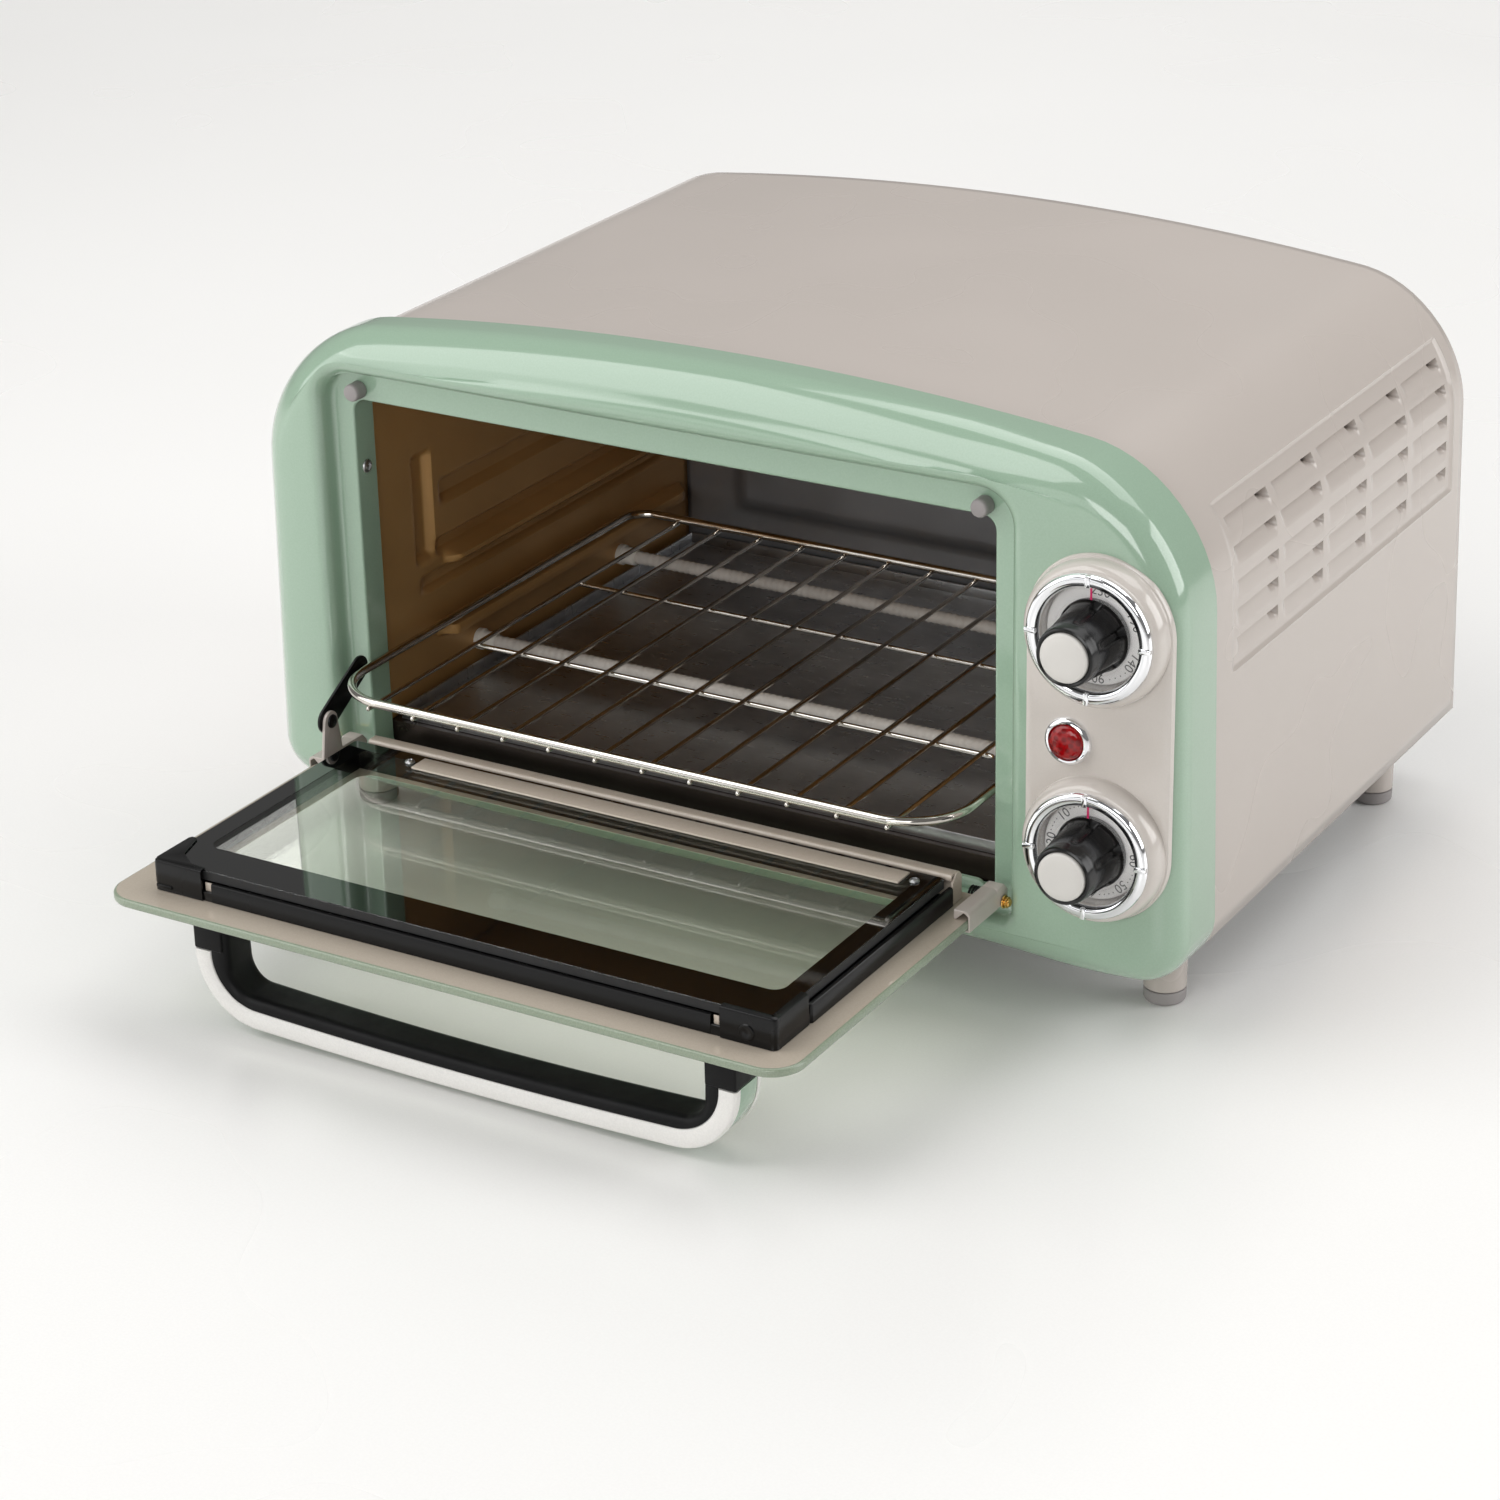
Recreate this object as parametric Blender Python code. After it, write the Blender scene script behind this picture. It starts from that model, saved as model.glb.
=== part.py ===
"""A countertop toaster oven with its door open: casing, cavity, wire rack, glazed door, handle and controls.

Metres, +Z up. The front faces -Y, +X is the right-hand side seen from the front, and it stands on Z = 0.
Every coordinate is measured from the door seat, the flat ledge that the closed door lies against, at Y = 0.
One empty moves that whole frame by SEAT_SHIFT, which puts the world origin under the middle of the object.
"""

import math

import bmesh
import bpy
from mathutils import Matrix, Vector

GAP = 0.0003  # kept between pieces that touch
SHEET = 0.0008  # thickness of the steel sheet

# Casing
SEAT_SHIFT = -0.0610
HALF_WIDTH = 0.225
BEZEL_LOW = 0.022
BEZEL_TOP = 0.235  # at the corners, before the crown is added
CROWN = 0.017  # rise of the arched top
DRAW = 0.02  # share of the width that the sides lean in by
TOP_RADIUS = 0.055
LOW_RADIUS = 0.0215
LOW_CROWN = 0.0058  # rise of the lower edge at the corners
ROLL_BLEND = (0.120, 0.195)  # where the rolled edge tightens towards the dials
FRONT = -0.010
BEZEL_BACK = 0.025
BEZEL_WALL = 0.0025
SHELL_INSET = 0.0045
SHELL_LOW = 0.0345
SHELL_BACK = 0.296
BASE_THICK = 0.001
FOOT_RADIUS = 0.0096
FOOT_X = 0.1978
FOOT_Y = {"front": 0.0356, "rear": 0.2570}
TIP_HEIGHT = 0.006

# Louvres in both sides, and the vents and the cord gland in the back
LOUVRE_ROWS = 5
LOUVRE_COLUMNS = 5
LOUVRE_START = Vector((0.0, 0.055, 0.2005))
LOUVRE_PITCH = Vector((0.0, 0.0458, -0.0123))
LOUVRE_LENGTH = 0.040
LOUVRE_HALF = 0.0015
LOUVRE_WALL_X = 0.2165
VENT_COUNT = 11
VENT_PITCH = 0.012
VENT_LOW = 0.150
VENT_TOP = 0.195
CORD_X = 0.170
CORD_Z = 0.060
CORD_HOLE = 0.0062

# Door opening, set to the left of the middle to leave room for the controls
OPEN_X = -0.017
OPEN_HALF = 0.154
OPEN_LOW = 0.046
OPEN_TOP = 0.212
OPEN_DEPTH = 0.0135
SEAT_HALF = 0.165
SEAT_LOW = 0.044
SEAT_TOP = 0.226
SEAT_LOW_RADIUS = 0.003
SEAT_TOP_RADIUS = 0.014
BUMPER_X = 0.150
BUMPER_Z = 0.217
BUMPER_RADIUS = 0.0039
SCREW_YZ = (0.0067, 0.1795)  # on the two side faces of the opening

# Cavity
CAVITY_HALF = 0.156
CAVITY_FLOOR = 0.0568
CAVITY_ROOF = 0.214
CAVITY_FRONT = 0.0150
CAVITY_BACK = 0.268
WALL_RIBS = (  # how far each stands out, its front and back, its bottom and top
    (0.0090, 0.052, 0.262, 0.0835, 0.0891),
    (0.0060, 0.060, 0.262, 0.1125, 0.1185),
    (0.0035, 0.040, 0.055, 0.1240, 0.1730),
)
TRAY_DEPTH = 0.0060
HEATER_RADIUS = 0.0035
HEATER_Y = {"front": 0.085, "rear": 0.205}
HEATER_Z = {"lower": 0.0705, "upper": 0.1990}

# Door, lying open: it turns about X at the hinge
HINGE = Vector((0.0, -0.011, 0.0525))
GLASS_X = (-0.1765, 0.1462)
GLASS_FRONT = -0.1830
GLASS_BACK = -0.0160
GLASS_LOW = 0.0520
GLASS_TOP = 0.0555
GLASS_CORNER = 0.014
DOOR_X = -0.0125  # the middle of the frame and of the rail
FRAME_HALF = 0.1462
FRAME_FRONT = -0.1685
FRAME_BACK = -0.0305
FRAME_TOP = 0.0688
PANE_HALF = 0.1446
PANE_EDGE = 0.0016  # from the frame's edge to the inner glass
PANE_SEAT = 0.0045  # from the frame's top to the ledge under the inner glass
LEDGE_THICK = 0.0020
BORDER_SIDE = 0.010
BORDER_FRONT = 0.0124
RAIL_HALF = 0.1466
RAIL_FRONT = -0.0300
RAIL_BACK = -0.0222
RAIL_TOP = 0.0688
RAIL_WALL = 0.001
CLIP_X = {"left": (-0.1773, -0.1701), "right": (0.1398, 0.1470)}
PIN_REACH = 0.0022  # how far each hinge pin goes into the bezel
PIN_RADIUS = 0.0018
PIN_HOLE = 0.0021

# Handle, hanging under the open door
HANDLE_X = -0.0105
HANDLE_HALF = 0.128
HANDLE_DROP = 0.0462
HANDLE_SAG = 0.0028
HANDLE_FRONT = -0.172
HANDLE_BACK = -0.152
HANDLE_CORNER = 0.0285
LEG_HEIGHT = 0.0165  # the plain black top of each leg
FINGER_HALF = 0.1125
FINGER_DROP = 0.0332
FINGER_CORNER = 0.010
TRIM_DEPTH = 0.0080
INLAY_MARGIN = 0.0035

# Rack and the link that draws it out with the door
RACK_Z = 0.0915
RACK_HALF = 0.1495
RACK_FRONT = -0.0385
RACK_DEPTH = 0.250
RACK_CORNER = (0.028, 0.012)  # at the front and at the back
RACK_WIRE = 0.0020
GRID_WIRE = 0.0011
GRID_PITCH = 0.023
GRID_COUNT = 12
LINK_PIVOT = Vector((0.0, -0.0350, 0.0765))
LINK_REACH = Vector((0.0, 0.0255, 0.0150))
LINK_X = (-0.1705, -0.1692)
LINK_RADIUS = 0.0050
LINK_END = 0.0042
TAB_X = (-0.1688, -0.1673)
RIVET_HOLE = 0.0020

# Controls
DIAL_X = 0.188
DIAL_Z = {"thermostat": 0.178, "timer": 0.086}
PANEL_RADIUS = 0.0315
PANEL_FACE = -0.0115
PANEL_BACK = -0.0088
PANEL_HOLE = 0.0265
BOSS_HEIGHT = 0.0200
WELL_RADIUS = 0.0215
WELL_FLOOR = 0.0125
SHAFT_RADIUS = 0.0030
BODY_HALF = 0.019  # the thermostat's body
LAMP = Vector((0.1755, 0.0, 0.1295))
LAMP_HOLE = 0.0076
ROUND = 32


def clear_scene():
    for obj in list(bpy.data.objects):
        bpy.data.objects.remove(obj, do_unlink=True)


def material(name, colour, roughness, metallic=0.0):
    made = bpy.data.materials.new(name)
    made.use_nodes = True
    shader = made.node_tree.nodes["Principled BSDF"]
    shader.inputs["Base Color"].default_value = (*colour, 1.0)
    shader.inputs["Roughness"].default_value = roughness
    shader.inputs["Metallic"].default_value = metallic
    made.diffuse_color = (*colour, 1.0)
    return made


def place(name, bm, finish, pivot=Vector(), smooth=False):
    """Makes an object of bm, whose points are in the seat frame, with its origin at pivot."""
    bmesh.ops.recalc_face_normals(bm, faces=bm.faces)
    bmesh.ops.translate(bm, verts=bm.verts, vec=-pivot)
    mesh = bpy.data.meshes.new(name)
    bm.to_mesh(mesh)
    bm.free()
    if smooth:
        mesh.shade_smooth()
        mesh.set_sharp_from_angle(angle=math.radians(35))
    if finish:
        mesh.materials.append(finish)
    obj = bpy.data.objects.new(name, mesh)
    bpy.context.scene.collection.objects.link(obj)
    obj.parent = SEAT
    obj.location = pivot
    return obj


def boolean(obj, bm, operation="DIFFERENCE", label="cut"):
    """Cuts bm from obj, or joins it to obj, by a Boolean whose helper is left out of the model."""
    helper = place(f"{obj.name}_{label}", bm, None)
    helper.hide_render = True
    helper.display_type = "WIRE"
    step = obj.modifiers.new(label, "BOOLEAN")
    step.operation = operation
    step.object = helper


def block(low, high):
    """A box between two corners."""
    bm = bmesh.new()
    bmesh.ops.create_cube(bm, size=1.0)
    low, high = Vector(low), Vector(high)
    size = high - low
    bmesh.ops.scale(bm, verts=bm.verts, vec=size)
    bmesh.ops.translate(bm, verts=bm.verts, vec=(low + high) / 2)
    return bm


def merged(parts):
    """One bmesh that holds each part in turn, as separate closed shells."""
    whole = bmesh.new()
    for part in parts:
        mesh = bpy.data.meshes.new("part")
        part.to_mesh(mesh)
        part.free()
        whole.from_mesh(mesh)
        bpy.data.meshes.remove(mesh)
    return whole


def prism(points, axis, low, high):
    """A flat outline pushed along an axis. points are the two other coordinates, in the order x, y, z."""
    bm = bmesh.new()
    shift = Vector((0.0, 0.0, 0.0))
    shift[axis] = high - low
    verts = []
    for a, b in points:
        corner = [a, b]
        corner.insert(axis, low)
        verts.append(bm.verts.new(corner))
    face = bm.faces.new(verts)
    pushed = bmesh.ops.extrude_face_region(bm, geom=[face])
    moved = [item for item in pushed["geom"] if isinstance(item, bmesh.types.BMVert)]
    bmesh.ops.translate(bm, verts=moved, vec=shift)
    return bm


def arc(centre, radius, start, end, steps):
    """Points (a, b) on an arc, angles in degrees."""
    found = []
    for i in range(steps + 1):
        angle = math.radians(start + (end - start) * i / steps)
        found.append((centre[0] + radius * math.cos(angle), centre[1] + radius * math.sin(angle)))
    return found


def turned(profile, axis, centre, segments=ROUND):
    """A solid of revolution about an axis through centre. profile holds (radius, distance along the axis),
    from axis to axis, or as a closed run clear of the axis. Along "y", distance counts to the front."""
    bm = bmesh.new()
    rings = []
    for radius, along in profile:
        if radius == 0.0:
            rings.append([bm.verts.new((0.0, 0.0, along))])
            continue
        ring = []
        for i in range(segments):
            angle = 2 * math.pi * i / segments
            ring.append(bm.verts.new((radius * math.cos(angle), radius * math.sin(angle), along)))
        rings.append(ring)
    pairs = list(zip(rings, rings[1:]))
    if len(rings[0]) > 1:
        pairs.append((rings[-1], rings[0]))
    for first, second in pairs:
        for i in range(segments):
            j = (i + 1) % segments
            corners = [first[i % len(first)], first[j % len(first)]]
            corners += [second[j % len(second)], second[i % len(second)]]
            bm.faces.new(list(dict.fromkeys(corners)))
    quarter = math.pi / 2
    turns = {"x": Matrix.Rotation(quarter, 4, "Y"), "y": Matrix.Rotation(quarter, 4, "X"), "z": Matrix()}
    bmesh.ops.transform(bm, matrix=Matrix.Translation(centre) @ turns[axis], verts=bm.verts)
    return bm


def rod(radius, low, high, axis, centre, segments=ROUND):
    return turned([(0.0, low), (radius, low), (radius, high), (0.0, high)], axis, centre, segments)


def loft(loops, ring=False):
    """Bridges loops of 3-D points, which all have the same count. A ring comes back to its first loop."""
    bm = bmesh.new()
    rows = [[bm.verts.new(point) for point in loop] for loop in loops]
    count = len(rows[0])
    pairs = list(zip(rows, rows[1:])) + ([(rows[-1], rows[0])] if ring else [])
    for first, second in pairs:
        for i in range(count):
            j = (i + 1) % count
            bm.faces.new((first[i], first[j], second[j], second[i]))
    if not ring:
        bm.faces.new(rows[0])
        bm.faces.new(rows[-1])
    return bm


def band(outer, inner, y0, y1):
    """A solid strip between two open runs of (x, z) points of the same count, from y0 to y1."""
    loops = []
    for (ax, az), (bx, bz) in zip(outer, inner):
        loops.append([(ax, y0, az), (bx, y0, bz), (bx, y1, bz), (ax, y1, az)])
    return loft(loops)


def warp(x, z):
    """Gives the casing its arched top and its sides that lean in."""
    height = (z - BEZEL_LOW) / (BEZEL_TOP - BEZEL_LOW)
    lean = 1.0 - DRAW * max(height, 0.0)
    return x * lean, z + CROWN * (1.0 - (x / HALF_WIDTH) ** 2) * max(height, 0.0)


def outline(x0, x1, z0, z1, low_radius, top_radius, shape=None):
    """A rounded rectangle as (x, z) points, anticlockwise from the lower left, always the same count."""
    corner, across = 6, 6
    lows, tops = max(low_radius, 0.0008), max(top_radius, 0.0008)
    points = arc((x0 + lows, z0 + lows), lows, 180, 270, corner)
    for i in range(1, across):
        points.append((x0 + lows + (x1 - x0 - 2 * lows) * i / across, z0))
    points += arc((x1 - lows, z0 + lows), lows, 270, 360, corner)
    points += arc((x1 - tops, z1 - tops), tops, 0, 90, corner)
    for i in range(1, across):
        points.append((x1 - tops + (x0 - x1 + 2 * tops) * i / across, z1))
    points += arc((x0 + tops, z1 - tops), tops, 90, 180, corner)
    return [shape(x, z) for x, z in points] if shape else points


def lifted(x, z):
    """The casing's shape, with its lower edge also rising towards the corners."""
    share = max(0.0, 1.0 - (z - BEZEL_LOW) / 0.10)
    leaned, height = warp(x, z)
    return leaned, height + LOW_CROWN * (x / HALF_WIDTH) ** 4 * share


def casing(inset):
    """The outline of the casing, drawn in by inset."""
    return outline(
        -HALF_WIDTH + inset, HALF_WIDTH - inset, BEZEL_LOW + inset, BEZEL_TOP - inset,
        LOW_RADIUS - inset, TOP_RADIUS - inset, lifted,
    )


def rim(broad, tight):
    """A loop of the rolled edge, each given as (inset, y): broad round the door, tight beside the dials."""
    points = []
    for (ax, az), (bx, bz) in zip(casing(broad[0]), casing(tight[0])):
        share = min(max((bx - ROLL_BLEND[0]) / (ROLL_BLEND[1] - ROLL_BLEND[0]), 0.0), 1.0)
        points.append(tuple(Vector((ax, broad[1], az)).lerp(Vector((bx, tight[1], bz)), share)))
    return points


def flat(run, y):
    return [(x, y, z) for x, z in run]


def seat(grow):
    """The recess that the door's outer glass lies in, widened by grow."""
    return outline(
        OPEN_X - SEAT_HALF - grow, OPEN_X + SEAT_HALF + grow, SEAT_LOW - grow, SEAT_TOP + grow,
        SEAT_LOW_RADIUS + grow, SEAT_TOP_RADIUS + grow,
    )


def opening(grow):
    return outline(
        OPEN_X - OPEN_HALF - grow, OPEN_X + OPEN_HALF + grow, OPEN_LOW - grow, OPEN_TOP + grow,
        0.004 + grow, 0.006 + grow,
    )


def capsule(radius):
    """The control panel's outline: two half circles about the dials, joined by straight sides."""
    top = arc((DIAL_X, DIAL_Z["thermostat"]), radius, 0, 180, 14)
    return top + arc((DIAL_X, DIAL_Z["timer"]), radius, 180, 360, 14)


def arch(inset):
    """The casing's outline without its bottom, from the lower left up, over the top and down."""
    half = HALF_WIDTH - inset
    radius = TOP_RADIUS - inset
    top = BEZEL_TOP - inset
    run = [(-half, SHELL_LOW), (-half, 0.11)]
    run += arc((-half + radius, top - radius), radius, 180, 90, 8)
    run += [((-half + radius) * (1 - 2 * i / 10), top) for i in range(1, 10)]
    run += arc((half - radius, top - radius), radius, 90, 0, 8)
    run += [(half, 0.11), (half, SHELL_LOW)]
    return [warp(x, z) for x, z in run]


def make_bezel():
    inner_front = FRONT + BEZEL_WALL
    loops = [
        flat(casing(0.0), BEZEL_BACK),
        rim((0.0, 0.0135), (0.0, 0.001)),
        rim((0.0012, 0.0061), (0.0010, -0.0045)),
        rim((0.0040, 0.0004), (0.0025, -0.0072)),
        rim((0.0085, -0.0046), (0.0045, -0.0090)),
        rim((0.0155, -0.0086), (0.0080, FRONT)),
        flat(seat(0.0030), FRONT),
        flat(seat(0.0008), FRONT + 0.0010),
        flat(seat(0.0), FRONT + 0.0035),
        flat(seat(0.0), 0.0),
        flat(opening(0.0), 0.0),
        flat(opening(0.0), OPEN_DEPTH),
        flat(opening(0.0018), OPEN_DEPTH),
        flat(opening(0.0018), BEZEL_WALL),
        flat(seat(BEZEL_WALL), BEZEL_WALL),
        flat(seat(BEZEL_WALL), inner_front + 0.001),
        flat(seat(BEZEL_WALL + 0.0012), inner_front),
        rim((0.0156, -0.0060), (0.0080, inner_front)),
        rim((0.0115, -0.0037), (0.0060, -0.0070)),
        rim((0.0053, 0.0030), (0.0042, -0.0055)),
        rim((BEZEL_WALL, 0.0135), (BEZEL_WALL, 0.001)),
        flat(casing(BEZEL_WALL), BEZEL_BACK),
    ]
    bezel = place("front_bezel", loft(loops, ring=True), MINT, smooth=True)
    boolean(bezel, prism(capsule(PANEL_RADIUS + GAP), 1, -0.030, PANEL_BACK + GAP), label="panel_pocket")
    boolean(bezel, prism(capsule(PANEL_HOLE), 1, -0.020, 0.0), label="panel_hole")
    for side, label in ((-1, "pin_hole_left"), (1, "pin_hole_right")):
        start = OPEN_X + side * (SEAT_HALF - 0.002)
        hole = rod(PIN_HOLE, 0.0, side * 0.006, "x", (start, HINGE.y, HINGE.z), 12)
        boolean(bezel, hole, label=label)


def make_shell():
    outer, inner = arch(SHELL_INSET), arch(SHELL_INSET + 0.001)
    shell = place("outer_shell", band(outer, inner, BEZEL_BACK + GAP, SHELL_BACK), GREIGE, smooth=True)
    reach = Vector((0.006, 0.0, LOUVRE_HALF))
    slots = []
    for side in (-1, 1):
        for row in range(LOUVRE_ROWS):
            for column in range(LOUVRE_COLUMNS):
                start = LOUVRE_START + Vector((side * LOUVRE_WALL_X, 0.0, 0.0))
                start += Vector((0.0, column * LOUVRE_PITCH.y, row * LOUVRE_PITCH.z))
                slots.append(block(start - reach, start + reach + Vector((0.0, LOUVRE_LENGTH, 0.0))))
    boolean(shell, merged(slots), label="louvres")


def make_base():
    half = HALF_WIDTH - SHELL_INSET - 0.0020
    low = (-half, BEZEL_BACK + 0.004, SHELL_LOW)
    place("base_plate", block(low, (half, SHELL_BACK - 0.004, SHELL_LOW + BASE_THICK)), STEEL)
    top = SHELL_LOW - GAP
    foot = [(0.0, TIP_HEIGHT + GAP), (FOOT_RADIUS, TIP_HEIGHT + GAP), (FOOT_RADIUS + 0.0004, top), (0.0, top)]
    tip = [(0.0, 0.0), (FOOT_RADIUS - 0.0010, 0.0), (FOOT_RADIUS - 0.0002, 0.0008)]
    tip += [(FOOT_RADIUS - 0.0002, TIP_HEIGHT), (0.0, TIP_HEIGHT)]
    for depth, y in FOOT_Y.items():
        for side, name in ((-1, "left"), (1, "right")):
            centre = (side * FOOT_X, y, 0.0)
            place(f"foot_{depth}_{name}", turned(foot, "z", centre, 24), GREIGE, smooth=True)
            place(f"foot_tip_{depth}_{name}", turned(tip, "z", centre, 24), RUBBER, smooth=True)


def make_rear():
    """The back plate, with its vents and the gland that the mains lead would leave by, here closed."""
    run = arch(SHELL_INSET + 0.0016)
    lowest = SHELL_LOW + BASE_THICK + GAP
    run[0] = (run[0][0], lowest)
    run[-1] = (run[-1][0], lowest)
    back = SHELL_BACK - 0.0015
    rear = place("rear_panel", prism(run, 1, back - 0.001, back), STEEL)
    slots = []
    for i in range(VENT_COUNT):
        x = VENT_PITCH * (i - (VENT_COUNT - 1) / 2)
        slots.append(block((x - 0.0015, back - 0.01, VENT_LOW), (x + 0.0015, back + 0.01, VENT_TOP)))
    boolean(rear, merged(slots), label="vents")
    centre = (CORD_X, 0.0, CORD_Z)
    boolean(rear, rod(CORD_HOLE, -back - 0.01, -back + 0.01, "y", centre, 16), label="cord_hole")
    neck = CORD_HOLE - 0.0004
    gland = [(0.0, -back + 0.006), (neck, -back + 0.006), (neck, -back - GAP), (0.0090, -back - GAP)]
    gland += [(0.0090, -back - 0.0025), (0.0050, -back - 0.0105), (0.0, -back - 0.0105)]
    place("cord_gland", turned(gland, "y", centre, 16), RUBBER, smooth=True)


def make_cavity():
    left, right = OPEN_X - CAVITY_HALF, OPEN_X + CAVITY_HALF
    front, back = CAVITY_FRONT, CAVITY_BACK
    for side, inner, name in ((-1, left, "left"), (1, right, "right")):
        x0, x1 = sorted((inner, inner + side * SHEET))
        body = block((x0, front, CAVITY_FLOOR + GAP), (x1, back, CAVITY_ROOF - GAP))
        wall = place(f"cavity_{name}_wall", body, ENAMEL)
        ribs = []
        for reach, y0, y1, z0, z1 in WALL_RIBS:
            x0, x1 = sorted((inner + side * 0.0004, inner - side * reach))
            ribs.append(block((x0, y0, z0), (x1, y1, z1)))
        boolean(wall, merged(ribs), "UNION", "ribs")
        holes = []
        for y in HEATER_Y.values():
            for z in HEATER_Z.values():
                holes.append(rod(HEATER_RADIUS + GAP, -0.02, 0.02, "x", (inner, y, z), 16))
        boolean(wall, merged(holes), label="heater_holes")
    place("cavity_roof", block((left, front, CAVITY_ROOF), (right, back, CAVITY_ROOF + SHEET)), ENAMEL)
    rear = block((left, back + GAP, CAVITY_FLOOR), (right, back + GAP + SHEET, CAVITY_ROOF))
    place("cavity_back", rear, ENAMEL)
    under = CAVITY_FLOOR - SHEET
    lip = [(front, CAVITY_FLOOR), (back, CAVITY_FLOOR), (back, under)]
    lip += [(front + SHEET, under), (front + SHEET, OPEN_LOW), (front, OPEN_LOW)]
    place("cavity_floor", prism(lip, 0, left, right), ENAMEL)
    make_tray(left, right)
    for level, z in HEATER_Z.items():
        for depth, y in HEATER_Y.items():
            body = rod(HEATER_RADIUS, left - 0.012, right + 0.012, "x", (0.0, y, z), 12)
            place(f"heater_{level}_{depth}", body, STEEL, smooth=True)


def make_tray(left, right):
    low = Vector((left + 0.004, CAVITY_FRONT + 0.003, CAVITY_FLOOR + GAP))
    high = Vector((right - 0.004, CAVITY_BACK - 0.004, CAVITY_FLOOR + TRAY_DEPTH))
    tray = place("crumb_tray", block(low, high), STEEL)
    wall = Vector((0.001, 0.001, SHEET))
    hollow = block(low + wall, high - Vector((0.001, 0.001, -0.01)))
    boolean(tray, hollow, label="hollow")


def make_seat_fittings():
    for side, name in ((-1, "left"), (1, "right")):
        bumper = [(0.0, GAP), (BUMPER_RADIUS, GAP), (BUMPER_RADIUS, 0.0062)]
        bumper += [(BUMPER_RADIUS - 0.0008, 0.0070), (0.0, 0.0070)]
        centre = (OPEN_X + side * BUMPER_X, 0.0, BUMPER_Z)
        place(f"door_bumper_{name}", turned(bumper, "y", centre, 20), RUBBER, smooth=True)
        face = OPEN_X + side * (OPEN_HALF - GAP)
        head = [(0.0, 0.0), (0.0030, 0.0), (0.0028, 0.0006), (0.0018, 0.0011), (0.0, 0.0012)]
        if side > 0:
            head = [(radius, -along) for radius, along in head]
        place(f"bezel_screw_{name}", turned(head, "x", (face, *SCREW_YZ), 16), STEEL, smooth=True)


def make_panel():
    outline_of_panel = prism(capsule(PANEL_RADIUS), 1, PANEL_FACE, PANEL_BACK)
    panel = place("control_panel", outline_of_panel, GREIGE, smooth=True)
    back = 0.0007 - PANEL_BACK
    for name, z in DIAL_Z.items():
        boss = [(0.0, back), (0.0300, back), (0.0300, 0.0130), (0.0294, 0.0165), (0.0280, 0.0188)]
        boss += [(0.0262, BOSS_HEIGHT), (WELL_RADIUS, BOSS_HEIGHT)]
        boss += [(WELL_RADIUS, WELL_FLOOR), (0.0, WELL_FLOOR)]
        boolean(panel, turned(boss, "y", (DIAL_X, 0.0, z)), "UNION", f"{name}_boss")
    holes = [rod(SHAFT_RADIUS + 0.0006, 0.0, 0.03, "y", (DIAL_X, 0.0, z), 16) for z in DIAL_Z.values()]
    holes.append(rod(LAMP_HOLE, 0.0, 0.03, "y", LAMP, 20))
    boolean(panel, merged(holes), label="holes")


def make_dial(name, z):
    """The fixed ring and window of a dial, and the knob, disc and shaft that turn in it."""
    centre = Vector((DIAL_X, 0.0, z))
    pivot = Vector((DIAL_X, PANEL_FACE, z))
    ring = [(0.0216, 0.0203), (0.0266, 0.0203), (0.0266, 0.0212), (0.0256, 0.0222), (0.0242, 0.0226)]
    ring += [(0.0228, 0.0222), (0.0218, 0.0212)]
    place(f"{name}_dial_ring", turned(ring, "y", centre), CHROME, smooth=True)
    window = [(0.0158, 0.0178), (0.0211, 0.0178), (0.0211, 0.0190), (0.0158, 0.0190)]
    place(f"{name}_dial_window", turned(window, "y", centre), CLEAR, smooth=True)
    bore = SHAFT_RADIUS + 0.0004
    disc = [(bore, 0.0136), (0.0207, 0.0136), (0.0207, 0.0146), (bore, 0.0146)]
    place(f"{name}_dial_disc", turned(disc, "y", centre), SILVER, pivot, smooth=True)
    knob = [(0.0, 0.0408), (0.0104, 0.0408), (0.0104, 0.0420), (0.0112, 0.0420), (0.0121, 0.0408)]
    knob += [(0.0140, 0.0190), (0.0152, 0.0170), (0.0152, 0.0149), (SHAFT_RADIUS + GAP, 0.0149)]
    knob += [(SHAFT_RADIUS + GAP, 0.0303), (0.0, 0.0303)]
    place(f"{name}_knob", turned(knob, "y", centre), BLACK, pivot, smooth=True)
    cap = [(0.0, 0.0411), (0.0101, 0.0411), (0.0101, 0.0424), (0.0094, 0.0431), (0.0, 0.0434)]
    place(f"{name}_knob_cap", turned(cap, "y", centre), GREIGE, pivot, smooth=True)
    shaft = rod(SHAFT_RADIUS, 0.0015, 0.0300, "y", centre, 12)
    place(f"{name}_shaft", shaft, STEEL, pivot, smooth=True)


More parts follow.
